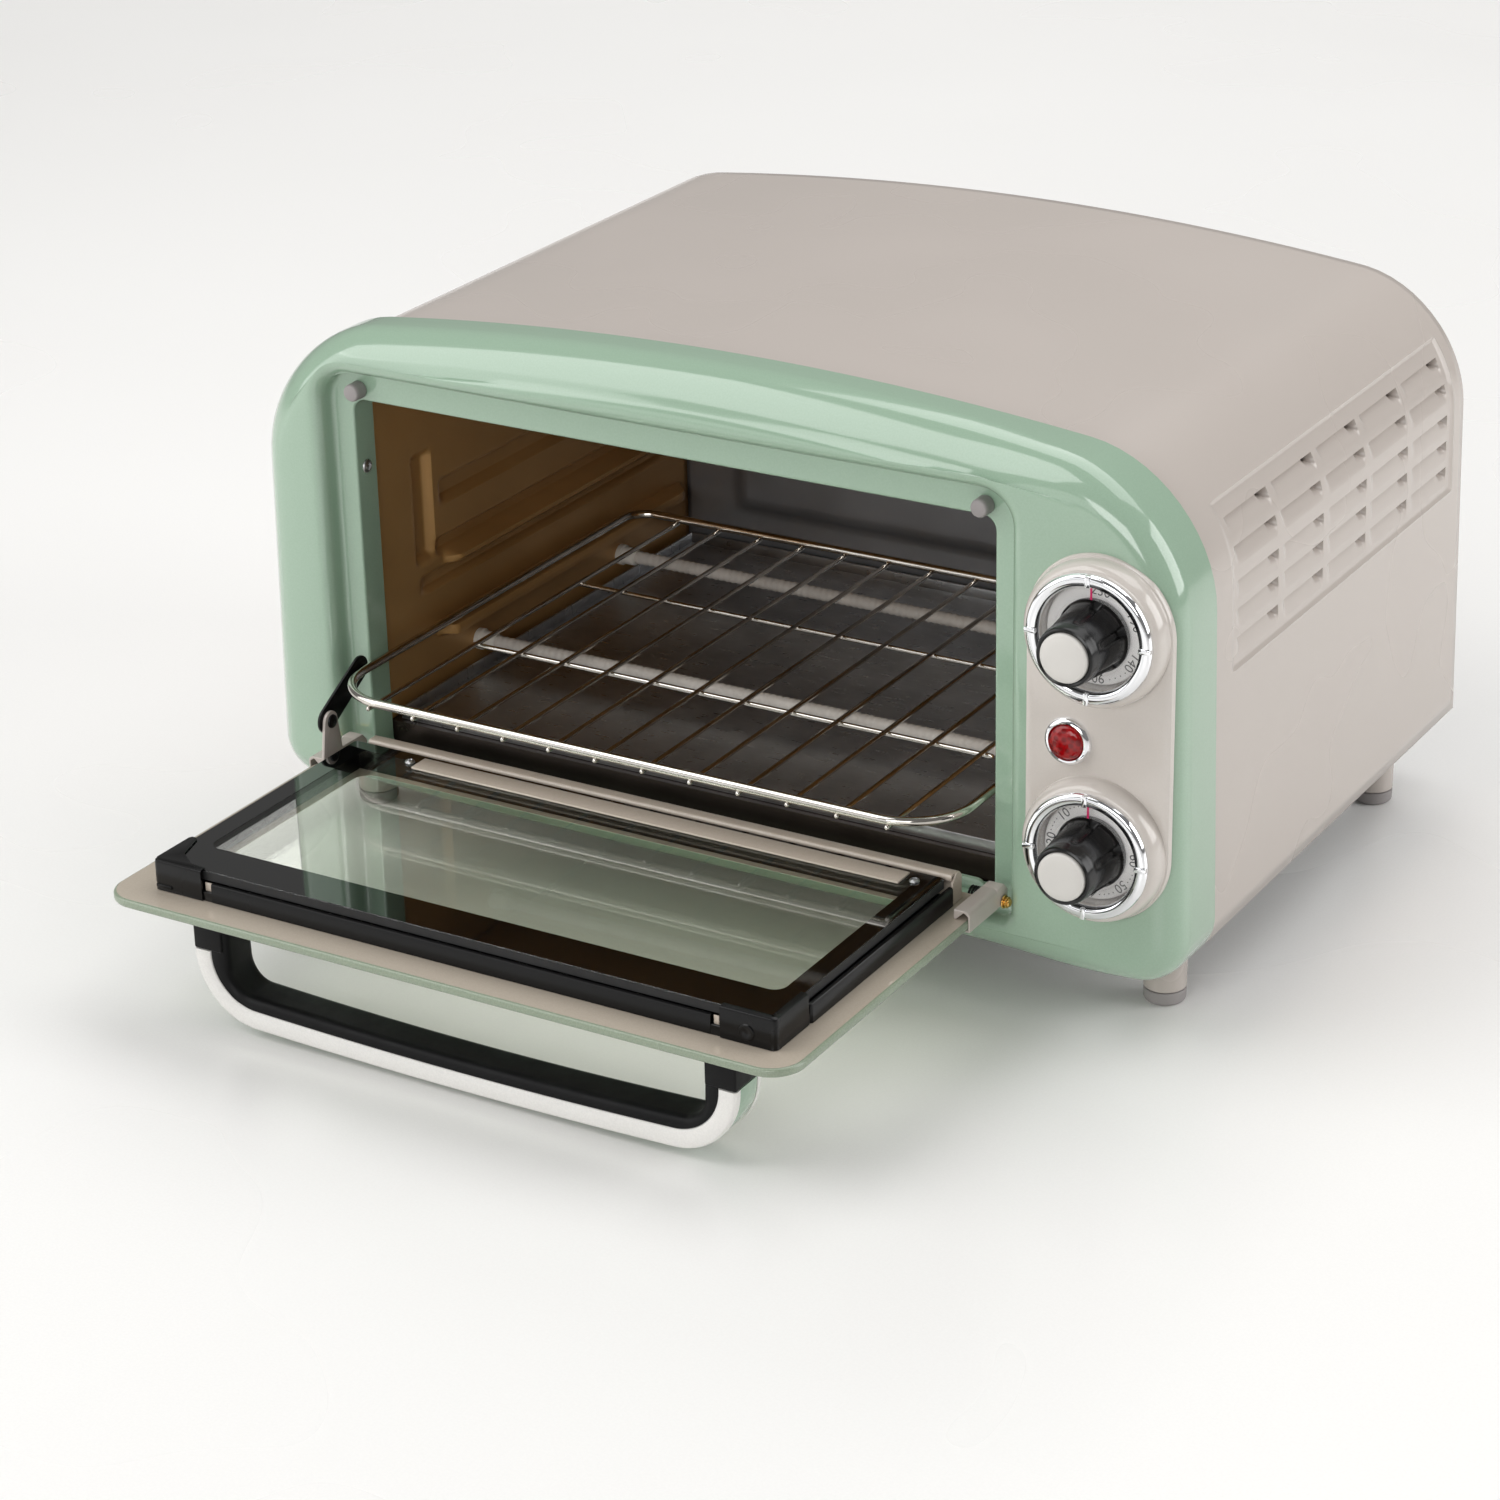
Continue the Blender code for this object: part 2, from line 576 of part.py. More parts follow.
def make_control_bodies():
    """The thermostat and the timer behind the panel, whose shafts carry the knobs, and the pilot lamp."""
    depth = -PANEL_BACK - GAP
    z = DIAL_Z["thermostat"]
    body = block((DIAL_X - BODY_HALF, -depth, z - 0.014), (DIAL_X + BODY_HALF, 0.022, z + 0.014))
    thermostat = place("thermostat_body", body, STEEL)
    timer_z = DIAL_Z["timer"]
    body = [(0.0, depth), (0.0220, depth), (0.0220, -0.016)]
    body += [(0.0200, -0.022), (0.0120, -0.026), (0.0, -0.027)]
    timer = place("timer_body", turned(body, "y", (DIAL_X, 0.0, timer_z)), STEEL, smooth=True)
    for obj, height in ((thermostat, z), (timer, timer_z)):
        hole = rod(SHAFT_RADIUS + 0.0004, 0.0012, 0.02, "y", (DIAL_X, 0.0, height), 12)
        boolean(obj, hole, label="shaft_hole")
    ring = [(0.0076, 0.0118), (0.0099, 0.0118), (0.0097, 0.0132), (0.0089, 0.0142), (0.0079, 0.0140)]
    place("lamp_ring", turned(ring, "y", LAMP, 28), CHROME, smooth=True)
    lens = [(0.0, 0.0050), (0.0072, 0.0050), (0.0072, 0.0132)]
    lens += [(0.0060, 0.0150), (0.0035, 0.0159), (0.0, 0.0162)]
    place("lamp_lens", turned(lens, "y", LAMP, 28), RED, smooth=True)


def plate_outline(sides, front, back, corner):
    """A plate seen from above, between two x values, with its two front corners rounded."""
    left, right = sides
    run = arc((left + corner, front + corner), corner, 180, 270, 6)
    run += arc((right - corner, front + corner), corner, 270, 360, 6)
    return run + [(right, back), (left, back)]


def across(half):
    """The two sides of something in the door's frame, from its half width."""
    return DOOR_X - half, DOOR_X + half


def make_door():
    """Two panes, the black frame that holds the inner one, and the rail along the hinge side."""
    outer = prism(plate_outline(GLASS_X, GLASS_FRONT, GLASS_BACK, GLASS_CORNER), 2, GLASS_LOW, GLASS_TOP)
    place("door_outer_glass", outer, GLASS, HINGE, smooth=True)
    low = GLASS_TOP + GAP
    body = prism(plate_outline(across(FRAME_HALF), FRAME_FRONT, FRAME_BACK, 0.003), 2, low, FRAME_TOP)
    frame = place("door_inner_frame", body, BLACK, HINGE, smooth=True)
    front, back = FRAME_FRONT + PANE_EDGE, FRAME_BACK - PANE_EDGE
    ledge = FRAME_TOP - PANE_SEAT
    inside = plate_outline(across(PANE_HALF), front, back, PANE_EDGE)
    boolean(frame, prism(inside, 2, ledge, FRAME_TOP + 0.01), label="pane_pocket")
    boolean(frame, prism(inside, 2, low - 0.01, ledge - LEDGE_THICK), label="hollow")
    sides = across(PANE_HALF - BORDER_SIDE)
    window = plate_outline(sides, front + BORDER_FRONT, FRAME_BACK - BORDER_SIDE, 0.006)
    boolean(frame, prism(window, 2, low - 0.01, ledge + 0.005), label="window")
    pane = plate_outline(across(PANE_HALF - GAP), front + GAP, back - GAP, PANE_EDGE)
    place("door_inner_glass", prism(pane, 2, ledge + GAP, FRAME_TOP - GAP), GLASS, HINGE, smooth=True)
    left, right = across(RAIL_HALF)
    body = block((left, RAIL_FRONT, low), (right, RAIL_BACK, RAIL_TOP))
    rail = place("door_bottom_rail", body, GREIGE, HINGE)
    inside = (left + RAIL_WALL, RAIL_FRONT + RAIL_WALL, low - 0.01)
    hollow = block(inside, (right - RAIL_WALL, RAIL_BACK - RAIL_WALL, RAIL_TOP - RAIL_WALL))
    boolean(rail, hollow, label="channel")


def make_hinges():
    """A clip round each lower corner of the glass, and a pin from it into the bezel."""
    low, high, drop = GLASS_TOP + GAP, 0.0600, 0.0480
    front, edge, back, chamfer = -0.040, GLASS_BACK + GAP, -0.0068, 0.0030
    clip = [(front, low), (edge, low), (edge, drop), (back, drop)]
    clip += [(back, high - chamfer), (back - chamfer, high), (front, high)]
    collar = PIN_RADIUS + 0.0008
    for side, name in ((-1, "left"), (1, "right")):
        x0, x1 = CLIP_X[name]
        cap = place(f"hinge_cap_{name}", prism(clip, 0, x0, x1), GREIGE, HINGE)
        axis = (0.0, HINGE.y, HINGE.z)
        boolean(cap, rod(PIN_HOLE, x0 - 0.005, x1 + 0.005, "x", axis, 12), label="pin_hole")
        inner, outer = (x1, x0) if side < 0 else (x0, x1)
        start, shoulder = inner + side * 0.0006, outer + side * GAP
        end = OPEN_X + side * (SEAT_HALF + PIN_REACH)
        pin = [(0.0, start), (PIN_RADIUS, start), (PIN_RADIUS, shoulder), (collar, shoulder)]
        pin += [(collar, shoulder + side * 0.0005), (PIN_RADIUS, shoulder + side * 0.0005)]
        pin += [(PIN_RADIUS, end), (0.0, end)]
        place(f"hinge_pin_{name}", turned(pin, "x", axis, 12), BRASS, HINGE, smooth=True)
    make_spring()


def tube(points, radius, cyclic=False, resolution=1):
    """A round wire along points, as a mesh made from a bevelled curve."""
    curve = bpy.data.curves.new("wire", "CURVE")
    curve.dimensions = "3D"
    curve.bevel_depth = radius
    curve.bevel_resolution = resolution
    curve.use_fill_caps = not cyclic
    spline = curve.splines.new("POLY")
    spline.points.add(len(points) - 1)
    for knot, point in zip(spline.points, points):
        knot.co = (*point, 1.0)
    spline.use_cyclic_u = cyclic
    holder = bpy.data.objects.new("wire", curve)
    mesh = bpy.data.meshes.new_from_object(holder)
    bm = bmesh.new()
    bm.from_mesh(mesh)
    bmesh.ops.remove_doubles(bm, verts=bm.verts, dist=0.00001)
    bpy.data.objects.remove(holder)
    bpy.data.meshes.remove(mesh)
    return bm


def make_spring():
    """The torsion spring on the right-hand hinge: a close coil about the hinge line."""
    turns, steps, radius, wire = 5, 12, 0.0034, 0.0005
    start, pitch = 0.1323, 0.00135
    points = []
    for i in range(turns * steps + 1):
        angle = 2 * math.pi * i / steps
        y = HINGE.y + radius * math.cos(angle)
        z = HINGE.z + radius * math.sin(angle)
        points.append((start + pitch * i / steps, y, z))
    place("hinge_spring", tube(points, wire), BLACK, HINGE, smooth=True)


def bow(half, drop, radius, sag):
    """The handle's bow as (x, z) points: down the left leg, along the bar and up the right leg."""
    top = GLASS_LOW - GAP
    bar = top - drop
    leg = top - LEG_HEIGHT
    run = [(-half, top), (-half, leg), (-half, bar + radius)]
    run += arc((-half + radius, bar + radius), radius, 180, 270, 7)[1:]
    run += [((-half + radius) * (1 - 2 * i / 8), bar) for i in range(1, 8)]
    run += arc((half - radius, bar + radius), radius, 270, 360, 7)
    run += [(half, leg), (half, top)]
    shaped = []
    for x, z in run:
        bend = sag * (1 - (x / half) ** 2) if z < leg else 0.0
        shaped.append((HANDLE_X + x, z - bend))
    return shaped


def handle_bow(inset):
    """The bow of the handle's outer face, drawn in by inset."""
    return bow(HANDLE_HALF - inset, HANDLE_DROP - inset, HANDLE_CORNER - inset, HANDLE_SAG)


def make_handle():
    """A black grip, a bright trim round its outer face, and a coloured inlay along the trim."""
    top = GLASS_LOW - GAP
    joint = top - LEG_HEIGHT + GAP
    inside = bow(FINGER_HALF, FINGER_DROP, FINGER_CORNER, HANDLE_SAG)
    outside = handle_bow(TRIM_DEPTH + GAP)
    left, right = HANDLE_X - HANDLE_HALF, HANDLE_X + HANDLE_HALF
    outer = [(left, top), (left, joint), (outside[1][0], joint)] + outside[2:-2]
    outer += [(outside[-2][0], joint), (right, joint), (right, top)]
    inner = [inside[0], (inside[1][0], joint + 0.0007), inside[1]] + inside[2:-2]
    inner += [inside[-2], (inside[-2][0], joint + 0.0007), inside[-1]]
    place("handle_grip", band(outer, inner, HANDLE_FRONT, HANDLE_BACK), BLACK, HINGE, smooth=True)
    body = band(handle_bow(0.0)[1:-1], handle_bow(TRIM_DEPTH)[1:-1], HANDLE_FRONT, HANDLE_BACK)
    trim = place("handle_trim", body, CHROME, HINGE, smooth=True)
    front, back = HANDLE_FRONT + INLAY_MARGIN, HANDLE_BACK - INLAY_MARGIN
    boolean(trim, band(handle_bow(-0.0020), handle_bow(0.0015), front, back), label="groove")
    inlay = band(handle_bow(0.0003)[1:-1], handle_bow(0.0012)[1:-1], front + GAP, back - GAP)
    place("handle_inlay", inlay, MINT, HINGE, smooth=True)


def make_link():
    """The tab that stands on the door, and the arm riveted to it that draws the rack out."""
    y, z = LINK_PIVOT.y, LINK_PIVOT.z
    end_y, end_z = y + LINK_REACH.y, z + LINK_REACH.z
    low = GLASS_TOP + GAP
    tab = [(y + 0.0070, low)] + arc((y, z), LINK_RADIUS - 0.0005, 0, 180, 8) + [(y - 0.0070, low)]
    plate = place("link_tab", prism(tab, 0, *TAB_X), GREIGE, HINGE)
    boolean(plate, rod(RIVET_HOLE, -0.18, -0.16, "x", (0.0, y, z), 12), label="hole")
    slope = math.degrees(math.atan2(LINK_REACH.z, LINK_REACH.y))
    arm = arc((y, z), LINK_RADIUS, slope + 90, slope + 270, 8)
    arm += arc((end_y, end_z), LINK_END, slope - 90, slope + 90, 8)
    link = place("rack_link", prism(arm, 0, *LINK_X), BLACK, LINK_PIVOT)
    holes = [rod(RIVET_HOLE, -0.18, -0.16, "x", (0.0, y, z), 12)]
    holes.append(rod(RIVET_HOLE - 0.0006, -0.18, -0.16, "x", (0.0, end_y, end_z), 12))
    boolean(link, merged(holes), label="holes")
    neck, tail, head = RIVET_HOLE - GAP, LINK_X[0] + 0.0001, TAB_X[1] + GAP
    rivet = [(0.0, tail), (neck, tail), (neck, head), (0.0031, head), (0.0024, head + 0.0010)]
    rivet.append((0.0, head + 0.0012))
    place("link_rivet", turned(rivet, "x", (0.0, y, z), 12), STEEL, HINGE, smooth=True)


def make_rack():
    """A thick wire bent into a loop, and thin wires from front to back under it, all welded together."""
    front, back = RACK_FRONT, RACK_FRONT + RACK_DEPTH
    left, right = OPEN_X - RACK_HALF, OPEN_X + RACK_HALF
    wide, tight = RACK_CORNER
    loop = arc((left + wide, front + wide), wide, 180, 270, 8)
    loop += arc((right - wide, front + wide), wide, 270, 360, 8)
    loop += arc((right - tight, back - tight), tight, 0, 90, 5)
    loop += arc((left + tight, back - tight), tight, 90, 180, 5)
    outer = tube([(x, y, RACK_Z) for x, y in loop], RACK_WIRE, cyclic=True, resolution=2)
    rack = place("wire_rack", outer, CHROME, smooth=True)
    low = RACK_Z - RACK_WIRE - GRID_WIRE + 0.0008
    for i in range(GRID_COUNT):
        x = OPEN_X + GRID_PITCH * (i - (GRID_COUNT - 1) / 2)
        wire = tube([(x, front - 0.0008, low), (x, back + 0.0008, low)], GRID_WIRE)
        boolean(rack, wire, "UNION", f"wire_{i}")
    cross = low - 2 * GRID_WIRE + 0.0006
    for i in (1, 2):
        y = front + RACK_DEPTH * i / 3
        wire = tube([(left + 0.020, y, cross), (right - 0.020, y, cross)], GRID_WIRE)
        boolean(rack, wire, "UNION", f"cross_{i}")


clear_scene()
SEAT = bpy.data.objects.new("door_seat", None)
SEAT.location = (0.0, SEAT_SHIFT, 0.0)
bpy.context.scene.collection.objects.link(SEAT)

MINT = material("mint_enamel", (0.36, 0.52, 0.41), 0.18)
GREIGE = material("greige_enamel", (0.58, 0.53, 0.49), 0.28)
BLACK = material("black_enamel", (0.012, 0.012, 0.013), 0.25)
STEEL = material("plated_steel", (0.55, 0.54, 0.52), 0.40, 1.0)
ENAMEL = material("dark_cavity_steel", (0.06, 0.045, 0.035), 0.38, 0.7)
CHROME = material("chrome", (0.86, 0.86, 0.87), 0.08, 1.0)
SILVER = material("silver_print", (0.62, 0.60, 0.59), 0.35, 0.2)
CLEAR = material("clear_plastic", (0.90, 0.90, 0.90), 0.05)
GLASS = material("tempered_glass", (0.50, 0.60, 0.52), 0.04)
RUBBER = material("grey_rubber", (0.30, 0.29, 0.29), 0.70)
RED = material("red_lens", (0.45, 0.01, 0.01), 0.15)
BRASS = material("brass", (0.62, 0.42, 0.16), 0.25, 1.0)

make_bezel()
make_shell()
make_base()
make_rear()
make_cavity()
make_seat_fittings()
make_panel()
for dial, height in DIAL_Z.items():
    make_dial(dial, height)
make_control_bodies()
make_door()
make_hinges()
make_handle()
make_link()
make_rack()
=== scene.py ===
"""The looks of a countertop toaster oven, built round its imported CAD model.

Metres, +Z up. Coordinates in the functions below are measured from the door seat, the ledge that the closed
door lies against (Y = 0 there), and SEAT moves them into the model's own frame.
"""

import math

import bmesh
import bpy
from mathutils import Matrix, Vector


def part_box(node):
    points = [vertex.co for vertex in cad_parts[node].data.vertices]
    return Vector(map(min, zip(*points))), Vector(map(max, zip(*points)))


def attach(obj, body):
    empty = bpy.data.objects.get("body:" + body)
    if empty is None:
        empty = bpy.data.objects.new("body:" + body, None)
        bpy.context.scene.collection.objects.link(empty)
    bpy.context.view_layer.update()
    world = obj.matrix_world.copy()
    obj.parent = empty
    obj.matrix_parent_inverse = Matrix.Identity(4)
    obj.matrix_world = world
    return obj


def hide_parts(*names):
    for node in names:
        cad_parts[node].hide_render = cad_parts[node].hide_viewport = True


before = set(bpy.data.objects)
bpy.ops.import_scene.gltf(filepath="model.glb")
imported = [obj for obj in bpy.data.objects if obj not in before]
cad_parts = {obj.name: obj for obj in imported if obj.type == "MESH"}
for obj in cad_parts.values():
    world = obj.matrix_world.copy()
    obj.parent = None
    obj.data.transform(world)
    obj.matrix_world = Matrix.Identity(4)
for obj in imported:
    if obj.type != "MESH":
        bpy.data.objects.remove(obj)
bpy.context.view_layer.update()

GAP = 0.0003
SEAT = Vector((0.0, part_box("door_bumper_left")[1].y + GAP, 0.0))


def span(node, axis):
    """A CAD node's low and high coordinate along an axis, in the seat frame."""
    low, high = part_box(node)
    return low[axis] - SEAT[axis], high[axis] - SEAT[axis]


def middle(node):
    low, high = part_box(node)
    return (low + high) / 2 - SEAT


def corners(node):
    """A CAD node's lowest and highest corner, in the seat frame."""
    low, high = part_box(node)
    return low - SEAT, high - SEAT


# Casing
HALF_WIDTH = span("front_bezel", 0)[1]
BEZEL_LOW = span("front_bezel", 2)[0]
BEZEL_TOP = 0.235  # at the corners, before the crown is added
CROWN = span("front_bezel", 2)[1] - BEZEL_TOP
DRAW = 0.02  # how much the sides lean in on the way up
TOP_RADIUS = 0.055
LOW_RADIUS = 0.0215
LOW_CROWN = 0.0058  # rise of the lower edge at the corners
ROLL_BLEND = (0.120, 0.195)  # where the rolled edge tightens towards the dials
FRONT, BEZEL_BACK = span("front_bezel", 1)
SHELL_INSET = 0.0045
SHELL_FRONT, SHELL_BACK = span("outer_shell", 1)
SHELL_LOW = span("outer_shell", 2)[0]

# Door opening and the recess round it
OPEN_X = -0.017
OPEN_HALF = 0.154
OPEN_LOW = 0.046
OPEN_TOP = 0.212
OPEN_DEPTH = 0.0135
SEAT_HALF = 0.165
SEAT_LOW = 0.044
SEAT_TOP = 0.226

# Door
HINGE = Vector((OPEN_X, -0.011, 0.0525))
GLASS_SIDES = span("door_outer_glass", 0)
GLASS_FRONT, GLASS_BACK = span("door_outer_glass", 1)
GLASS_LOW, GLASS_TOP = span("door_outer_glass", 2)
DOOR_X = middle("door_inner_frame").x
FRAME_HALF = span("door_inner_frame", 0)[1] - DOOR_X
FRAME_FRONT, FRAME_BACK = span("door_inner_frame", 1)
FRAME_TOP = span("door_inner_frame", 2)[1]
LIP_TOP = 0.0642  # of the channel round the inner pane
BRACKET_LONG = 0.0245
PANE_SIDES = span("door_inner_glass", 0)
PANE_FRONT, PANE_BACK = span("door_inner_glass", 1)
PANE_LOW, PANE_TOP = span("door_inner_glass", 2)
RAIL_SIDES = span("door_bottom_rail", 0)
RAIL_FRONT, RAIL_BACK = span("door_bottom_rail", 1)
RAIL_TOP = span("door_bottom_rail", 2)[1]

# Handle
HANDLE_X = middle("handle_trim").x
HANDLE_HALF = 0.128
HANDLE_DROP = 0.0462
HANDLE_SAG = 0.0028
HANDLE_CORNER = 0.0285
HANDLE_FRONT, HANDLE_BACK = span("handle_grip", 1)
LEG_HEIGHT = 0.0165
FINGER_HALF = 0.1125
FINGER_DROP = 0.0332
FINGER_CORNER = 0.010
TRIM_DEPTH = 0.0080

# Controls
DIAL_X = middle("timer_knob").x
DIAL_Z = {"thermostat": middle("thermostat_knob").z, "timer": middle("timer_knob").z}
PANEL_RADIUS = 0.0315
PANEL_FACE = -0.0115


# ---------------------------------------------------------------- materials

def linear(display):
    """A display colour, 0 to 255, as the linear values that a shader takes."""
    found = []
    for value in display:
        value /= 255
        found.append(value / 12.92 if value < 0.04045 else ((value + 0.055) / 1.055) ** 2.4)
    return (*found, 1.0)


NOISE_BAND = (0.35, 0.65)  # most noise values lie between these
WIDE_BAND = (0.3, 0.7)


class Finish:
    """A material whose colour, roughness and bump are worked out by noise in object space."""

    def __init__(self, name, metallic=0.0, coat=0.0, specular=0.5):
        self.material = bpy.data.materials.new(name)
        self.material.use_nodes = True
        self.nodes = self.material.node_tree.nodes
        self.links = self.material.node_tree.links
        self.shader = self.nodes["Principled BSDF"]
        self.shader.inputs["Metallic"].default_value = metallic
        self.shader.inputs["Coat Weight"].default_value = coat
        self.shader.inputs["Coat Roughness"].default_value = 0.04
        self.shader.inputs["Specular IOR Level"].default_value = specular
        self.place = self.nodes.new("ShaderNodeTexCoord").outputs["Object"]
        self.normal = None

    def noise(self, scale, detail=2.0, stretch=None):
        node = self.nodes.new("ShaderNodeTexNoise")
        node.inputs["Scale"].default_value = scale
        node.inputs["Detail"].default_value = detail
        self.links.new(self.stretched(stretch), node.inputs["Vector"])
        return node.outputs["Fac"]

    def cells(self, scale):
        node = self.nodes.new("ShaderNodeTexVoronoi")
        node.inputs["Scale"].default_value = scale
        self.links.new(self.place, node.inputs["Vector"])
        return node.outputs["Distance"]

    def stretched(self, stretch):
        if stretch is None:
            return self.place
        node = self.nodes.new("ShaderNodeMapping")
        node.inputs["Scale"].default_value = stretch
        self.links.new(self.place, node.inputs["Vector"])
        return node.outputs["Vector"]

    def range(self, value, low, high):
        node = self.nodes.new("ShaderNodeMapRange")
        node.inputs["From Min"].default_value = WIDE_BAND[0]
        node.inputs["From Max"].default_value = WIDE_BAND[1]
        node.inputs["To Min"].default_value = low
        node.inputs["To Max"].default_value = high
        self.links.new(value, node.inputs["Value"])
        return node.outputs["Result"]

    def blend(self, value, first, second):
        """Blends two linear colours by a noise value."""
        node = self.nodes.new("ShaderNodeValToRGB")
        for stop, position, colour in zip(node.color_ramp.elements, NOISE_BAND, (first, second)):
            stop.position = position
            stop.color = colour
        self.links.new(value, node.inputs["Fac"])
        self.links.new(node.outputs["Color"], self.shader.inputs["Base Color"])

    def colour(self, value, first, second):
        """Blends two display colours by a noise value."""
        self.blend(value, linear(first), linear(second))

    def rough(self, value, low, high):
        self.links.new(self.range(value, low, high), self.shader.inputs["Roughness"])

    def bump(self, height, distance, strength=1.0):
        node = self.nodes.new("ShaderNodeBump")
        node.inputs["Distance"].default_value = distance
        node.inputs["Strength"].default_value = strength
        self.links.new(height, node.inputs["Height"])
        if self.normal:
            self.links.new(self.normal, node.inputs["Normal"])
        self.normal = node.outputs["Normal"]
        self.links.new(self.normal, self.shader.inputs["Normal"])

    def lamps_pass(self, tint):
        """Lets the lamps' light through, as thin glass does."""
        clear = self.nodes.new("ShaderNodeBsdfTransparent")
        clear.inputs["Color"].default_value = tint
        path = self.nodes.new("ShaderNodeLightPath")
        mix = self.nodes.new("ShaderNodeMixShader")
        self.links.new(path.outputs["Is Shadow Ray"], mix.inputs["Fac"])
        self.links.new(self.shader.outputs["BSDF"], mix.inputs[1])
        self.links.new(clear.outputs["BSDF"], mix.inputs[2])
        self.links.new(mix.outputs["Shader"], self.nodes["Material Output"].inputs["Surface"])


def painted(name, first, second, low, high, coat, peel, specular=0.5):
    """Gloss paint or moulded plastic: a speck of colour noise, uneven gloss and orange peel."""
    made = Finish(name, coat=coat, specular=specular)
    made.colour(made.noise(1500.0, 1.0), first, second)
    made.rough(made.noise(12.0, 1.0), low, high)
    if peel:
        made.bump(made.noise(90.0, 1.0), peel)
    return made.material


def plated(name, first, second, low, high, scratch, stretch=(1.0, 1.0, 1.0)):
    """Bare or plated metal: toned by noise and finely scratched along one direction."""
    made = Finish(name, metallic=1.0)
    made.colour(made.noise(35.0, 4.0), first, second)
    made.rough(made.noise(90.0, 4.0, stretch), low, high)
    made.bump(made.noise(900.0, 2.0, stretch), scratch)
    return made.material


def moulded(name, first, second, low, high, grain, scale=1600.0, specular=0.4):
    """Plastic or rubber with a fine moulded grain."""
    made = Finish(name, specular=specular)
    made.colour(made.noise(50.0, 3.0), first, second)
    made.rough(made.noise(160.0, 3.0), low, high)
    made.bump(made.noise(scale, 3.0), grain)
    return made.material


def baked_steel(name, first, second, low, high, metallic=0.75):
    """Heat-tinted oven steel: rolled streaks, brown clouds and a few dark specks."""
    made = Finish(name, metallic=metallic)
    made.colour(made.noise(9.0, 5.0), first, second)
    made.rough(made.noise(40.0, 4.0, (1.0, 0.25, 1.0)), low, high)
    made.bump(made.noise(260.0, 3.0, (1.0, 0.2, 1.0)), 0.00004)
    made.bump(made.cells(70.0), 0.00003, 0.4)
    return made.material


def thin_plastic(name):
    """A clear sheet: almost only its gloss shows."""
    made = Finish(name, coat=1.0)
    made.colour(made.noise(6.0, 1.0), (236, 236, 236), (242, 242, 242))
    made.rough(made.noise(25.0, 1.0), 0.02, 0.05)
    made.shader.inputs["Alpha"].default_value = 0.10
    return made.material


def glass(name, tint):
    """Polished glass with a tint, given in linear values, that is a trace uneven."""
    made = Finish(name)
    made.shader.inputs["Transmission Weight"].default_value = 1.0
    made.shader.inputs["IOR"].default_value = 1.5
    made.blend(made.noise(6.0, 2.0), tint, tuple(min(1.0, value * 1.03) for value in tint))
    made.rough(made.noise(25.0, 2.0), 0.0, 0.01)
    made.bump(made.noise(12.0, 1.0), 0.00002)
    made.lamps_pass(tint)
    return made.material


def lens(name):
    """The pilot lamp's red lens, with a pressed pattern of small pyramids behind it."""
    made = Finish(name, coat=0.3, specular=0.35)
    made.colour(made.cells(420.0), (112, 1, 6), (150, 4, 10))
    made.rough(made.noise(300.0), 0.05, 0.10)
    made.bump(made.cells(520.0), 0.00012)
    made.shader.inputs["Emission Color"].default_value = (0.5, 0.004, 0.004, 1.0)
    made.shader.inputs["Emission Strength"].default_value = 0.02
    return made.material


MINT = painted("mint_gloss", (150, 176, 154), (153, 179, 157), 0.12, 0.17, 0.8, 0.0000015)
GREIGE = painted("greige_enamel", (189, 180, 173), (190, 181, 174), 0.24, 0.32, 0.35, 0.0)
PANEL = painted("panel_gloss", (202, 195, 188), (204, 197, 190), 0.14, 0.20, 0.5, 0.000002)
PRINT = painted("glass_print", (182, 171, 156), (186, 175, 160), 0.10, 0.16, 0.6, 0.000002)
RAIL_PAINT = painted("rail_enamel", (190, 178, 164), (195, 183, 170), 0.16, 0.24, 0.4, 0.000003)
BLACK_STEEL = painted("black_enamel", (6, 6, 7), (9, 9, 10), 0.26, 0.34, 0.1, 0.000003, 0.25)
EDGE_GREY = moulded("pane_edge_seal", (28, 28, 29), (34, 34, 35), 0.45, 0.60, 0.00003)
BLACK_GLASS = painted("black_glass_print", (6, 7, 7), (8, 9, 9), 0.02, 0.04, 1.0, 0.000004)
BLACK_PLASTIC = moulded("black_plastic", (8, 8, 9), (12, 12, 13), 0.38, 0.50, 0.00002, specular=0.18)
KNOB_BLACK = moulded("knob_black", (11, 11, 12), (15, 15, 16), 0.18, 0.26, 0.00001)
RUBBER = moulded("grey_rubber", (148, 143, 142), (156, 151, 150), 0.55, 0.70, 0.00008)
CORD_RUBBER = moulded("gland_rubber", (40, 40, 42), (48, 48, 50), 0.50, 0.65, 0.00008)
CAP = moulded("cap_plastic", (212, 209, 204), (216, 213, 208), 0.28, 0.36, 0.00002)
CHROME = plated("chrome", (236, 237, 240), (242, 243, 245), 0.02, 0.06, 0.000004)
RACK_CHROME = plated("rack_chrome", (205, 200, 192), (226, 222, 216), 0.06, 0.14, 0.000002)
SATIN = painted("satin_trim", (228, 226, 222), (233, 231, 227), 0.26, 0.34, 0.4, 0.000002)
ZINC = plated("zinc_steel", (176, 177, 178), (196, 197, 198), 0.25, 0.42, 0.00005, (1.0, 6.0, 1.0))
BRASS = plated("brass", (214, 172, 96), (228, 188, 112), 0.14, 0.24, 0.00002)
CAVITY = baked_steel("cavity_steel", (172, 130, 76), (188, 146, 92), 0.28, 0.42, 0.35)
BACK_STEEL = baked_steel("cavity_back_steel", (142, 142, 144), (160, 160, 162), 0.32, 0.48)
CAVITY_FLOOR = baked_steel("cavity_floor_steel", (58, 50, 46), (74, 64, 58), 0.26, 0.40)
QUARTZ = moulded("heater_quartz", (196, 190, 182), (214, 208, 200), 0.22, 0.35, 0.00004, 700.0)
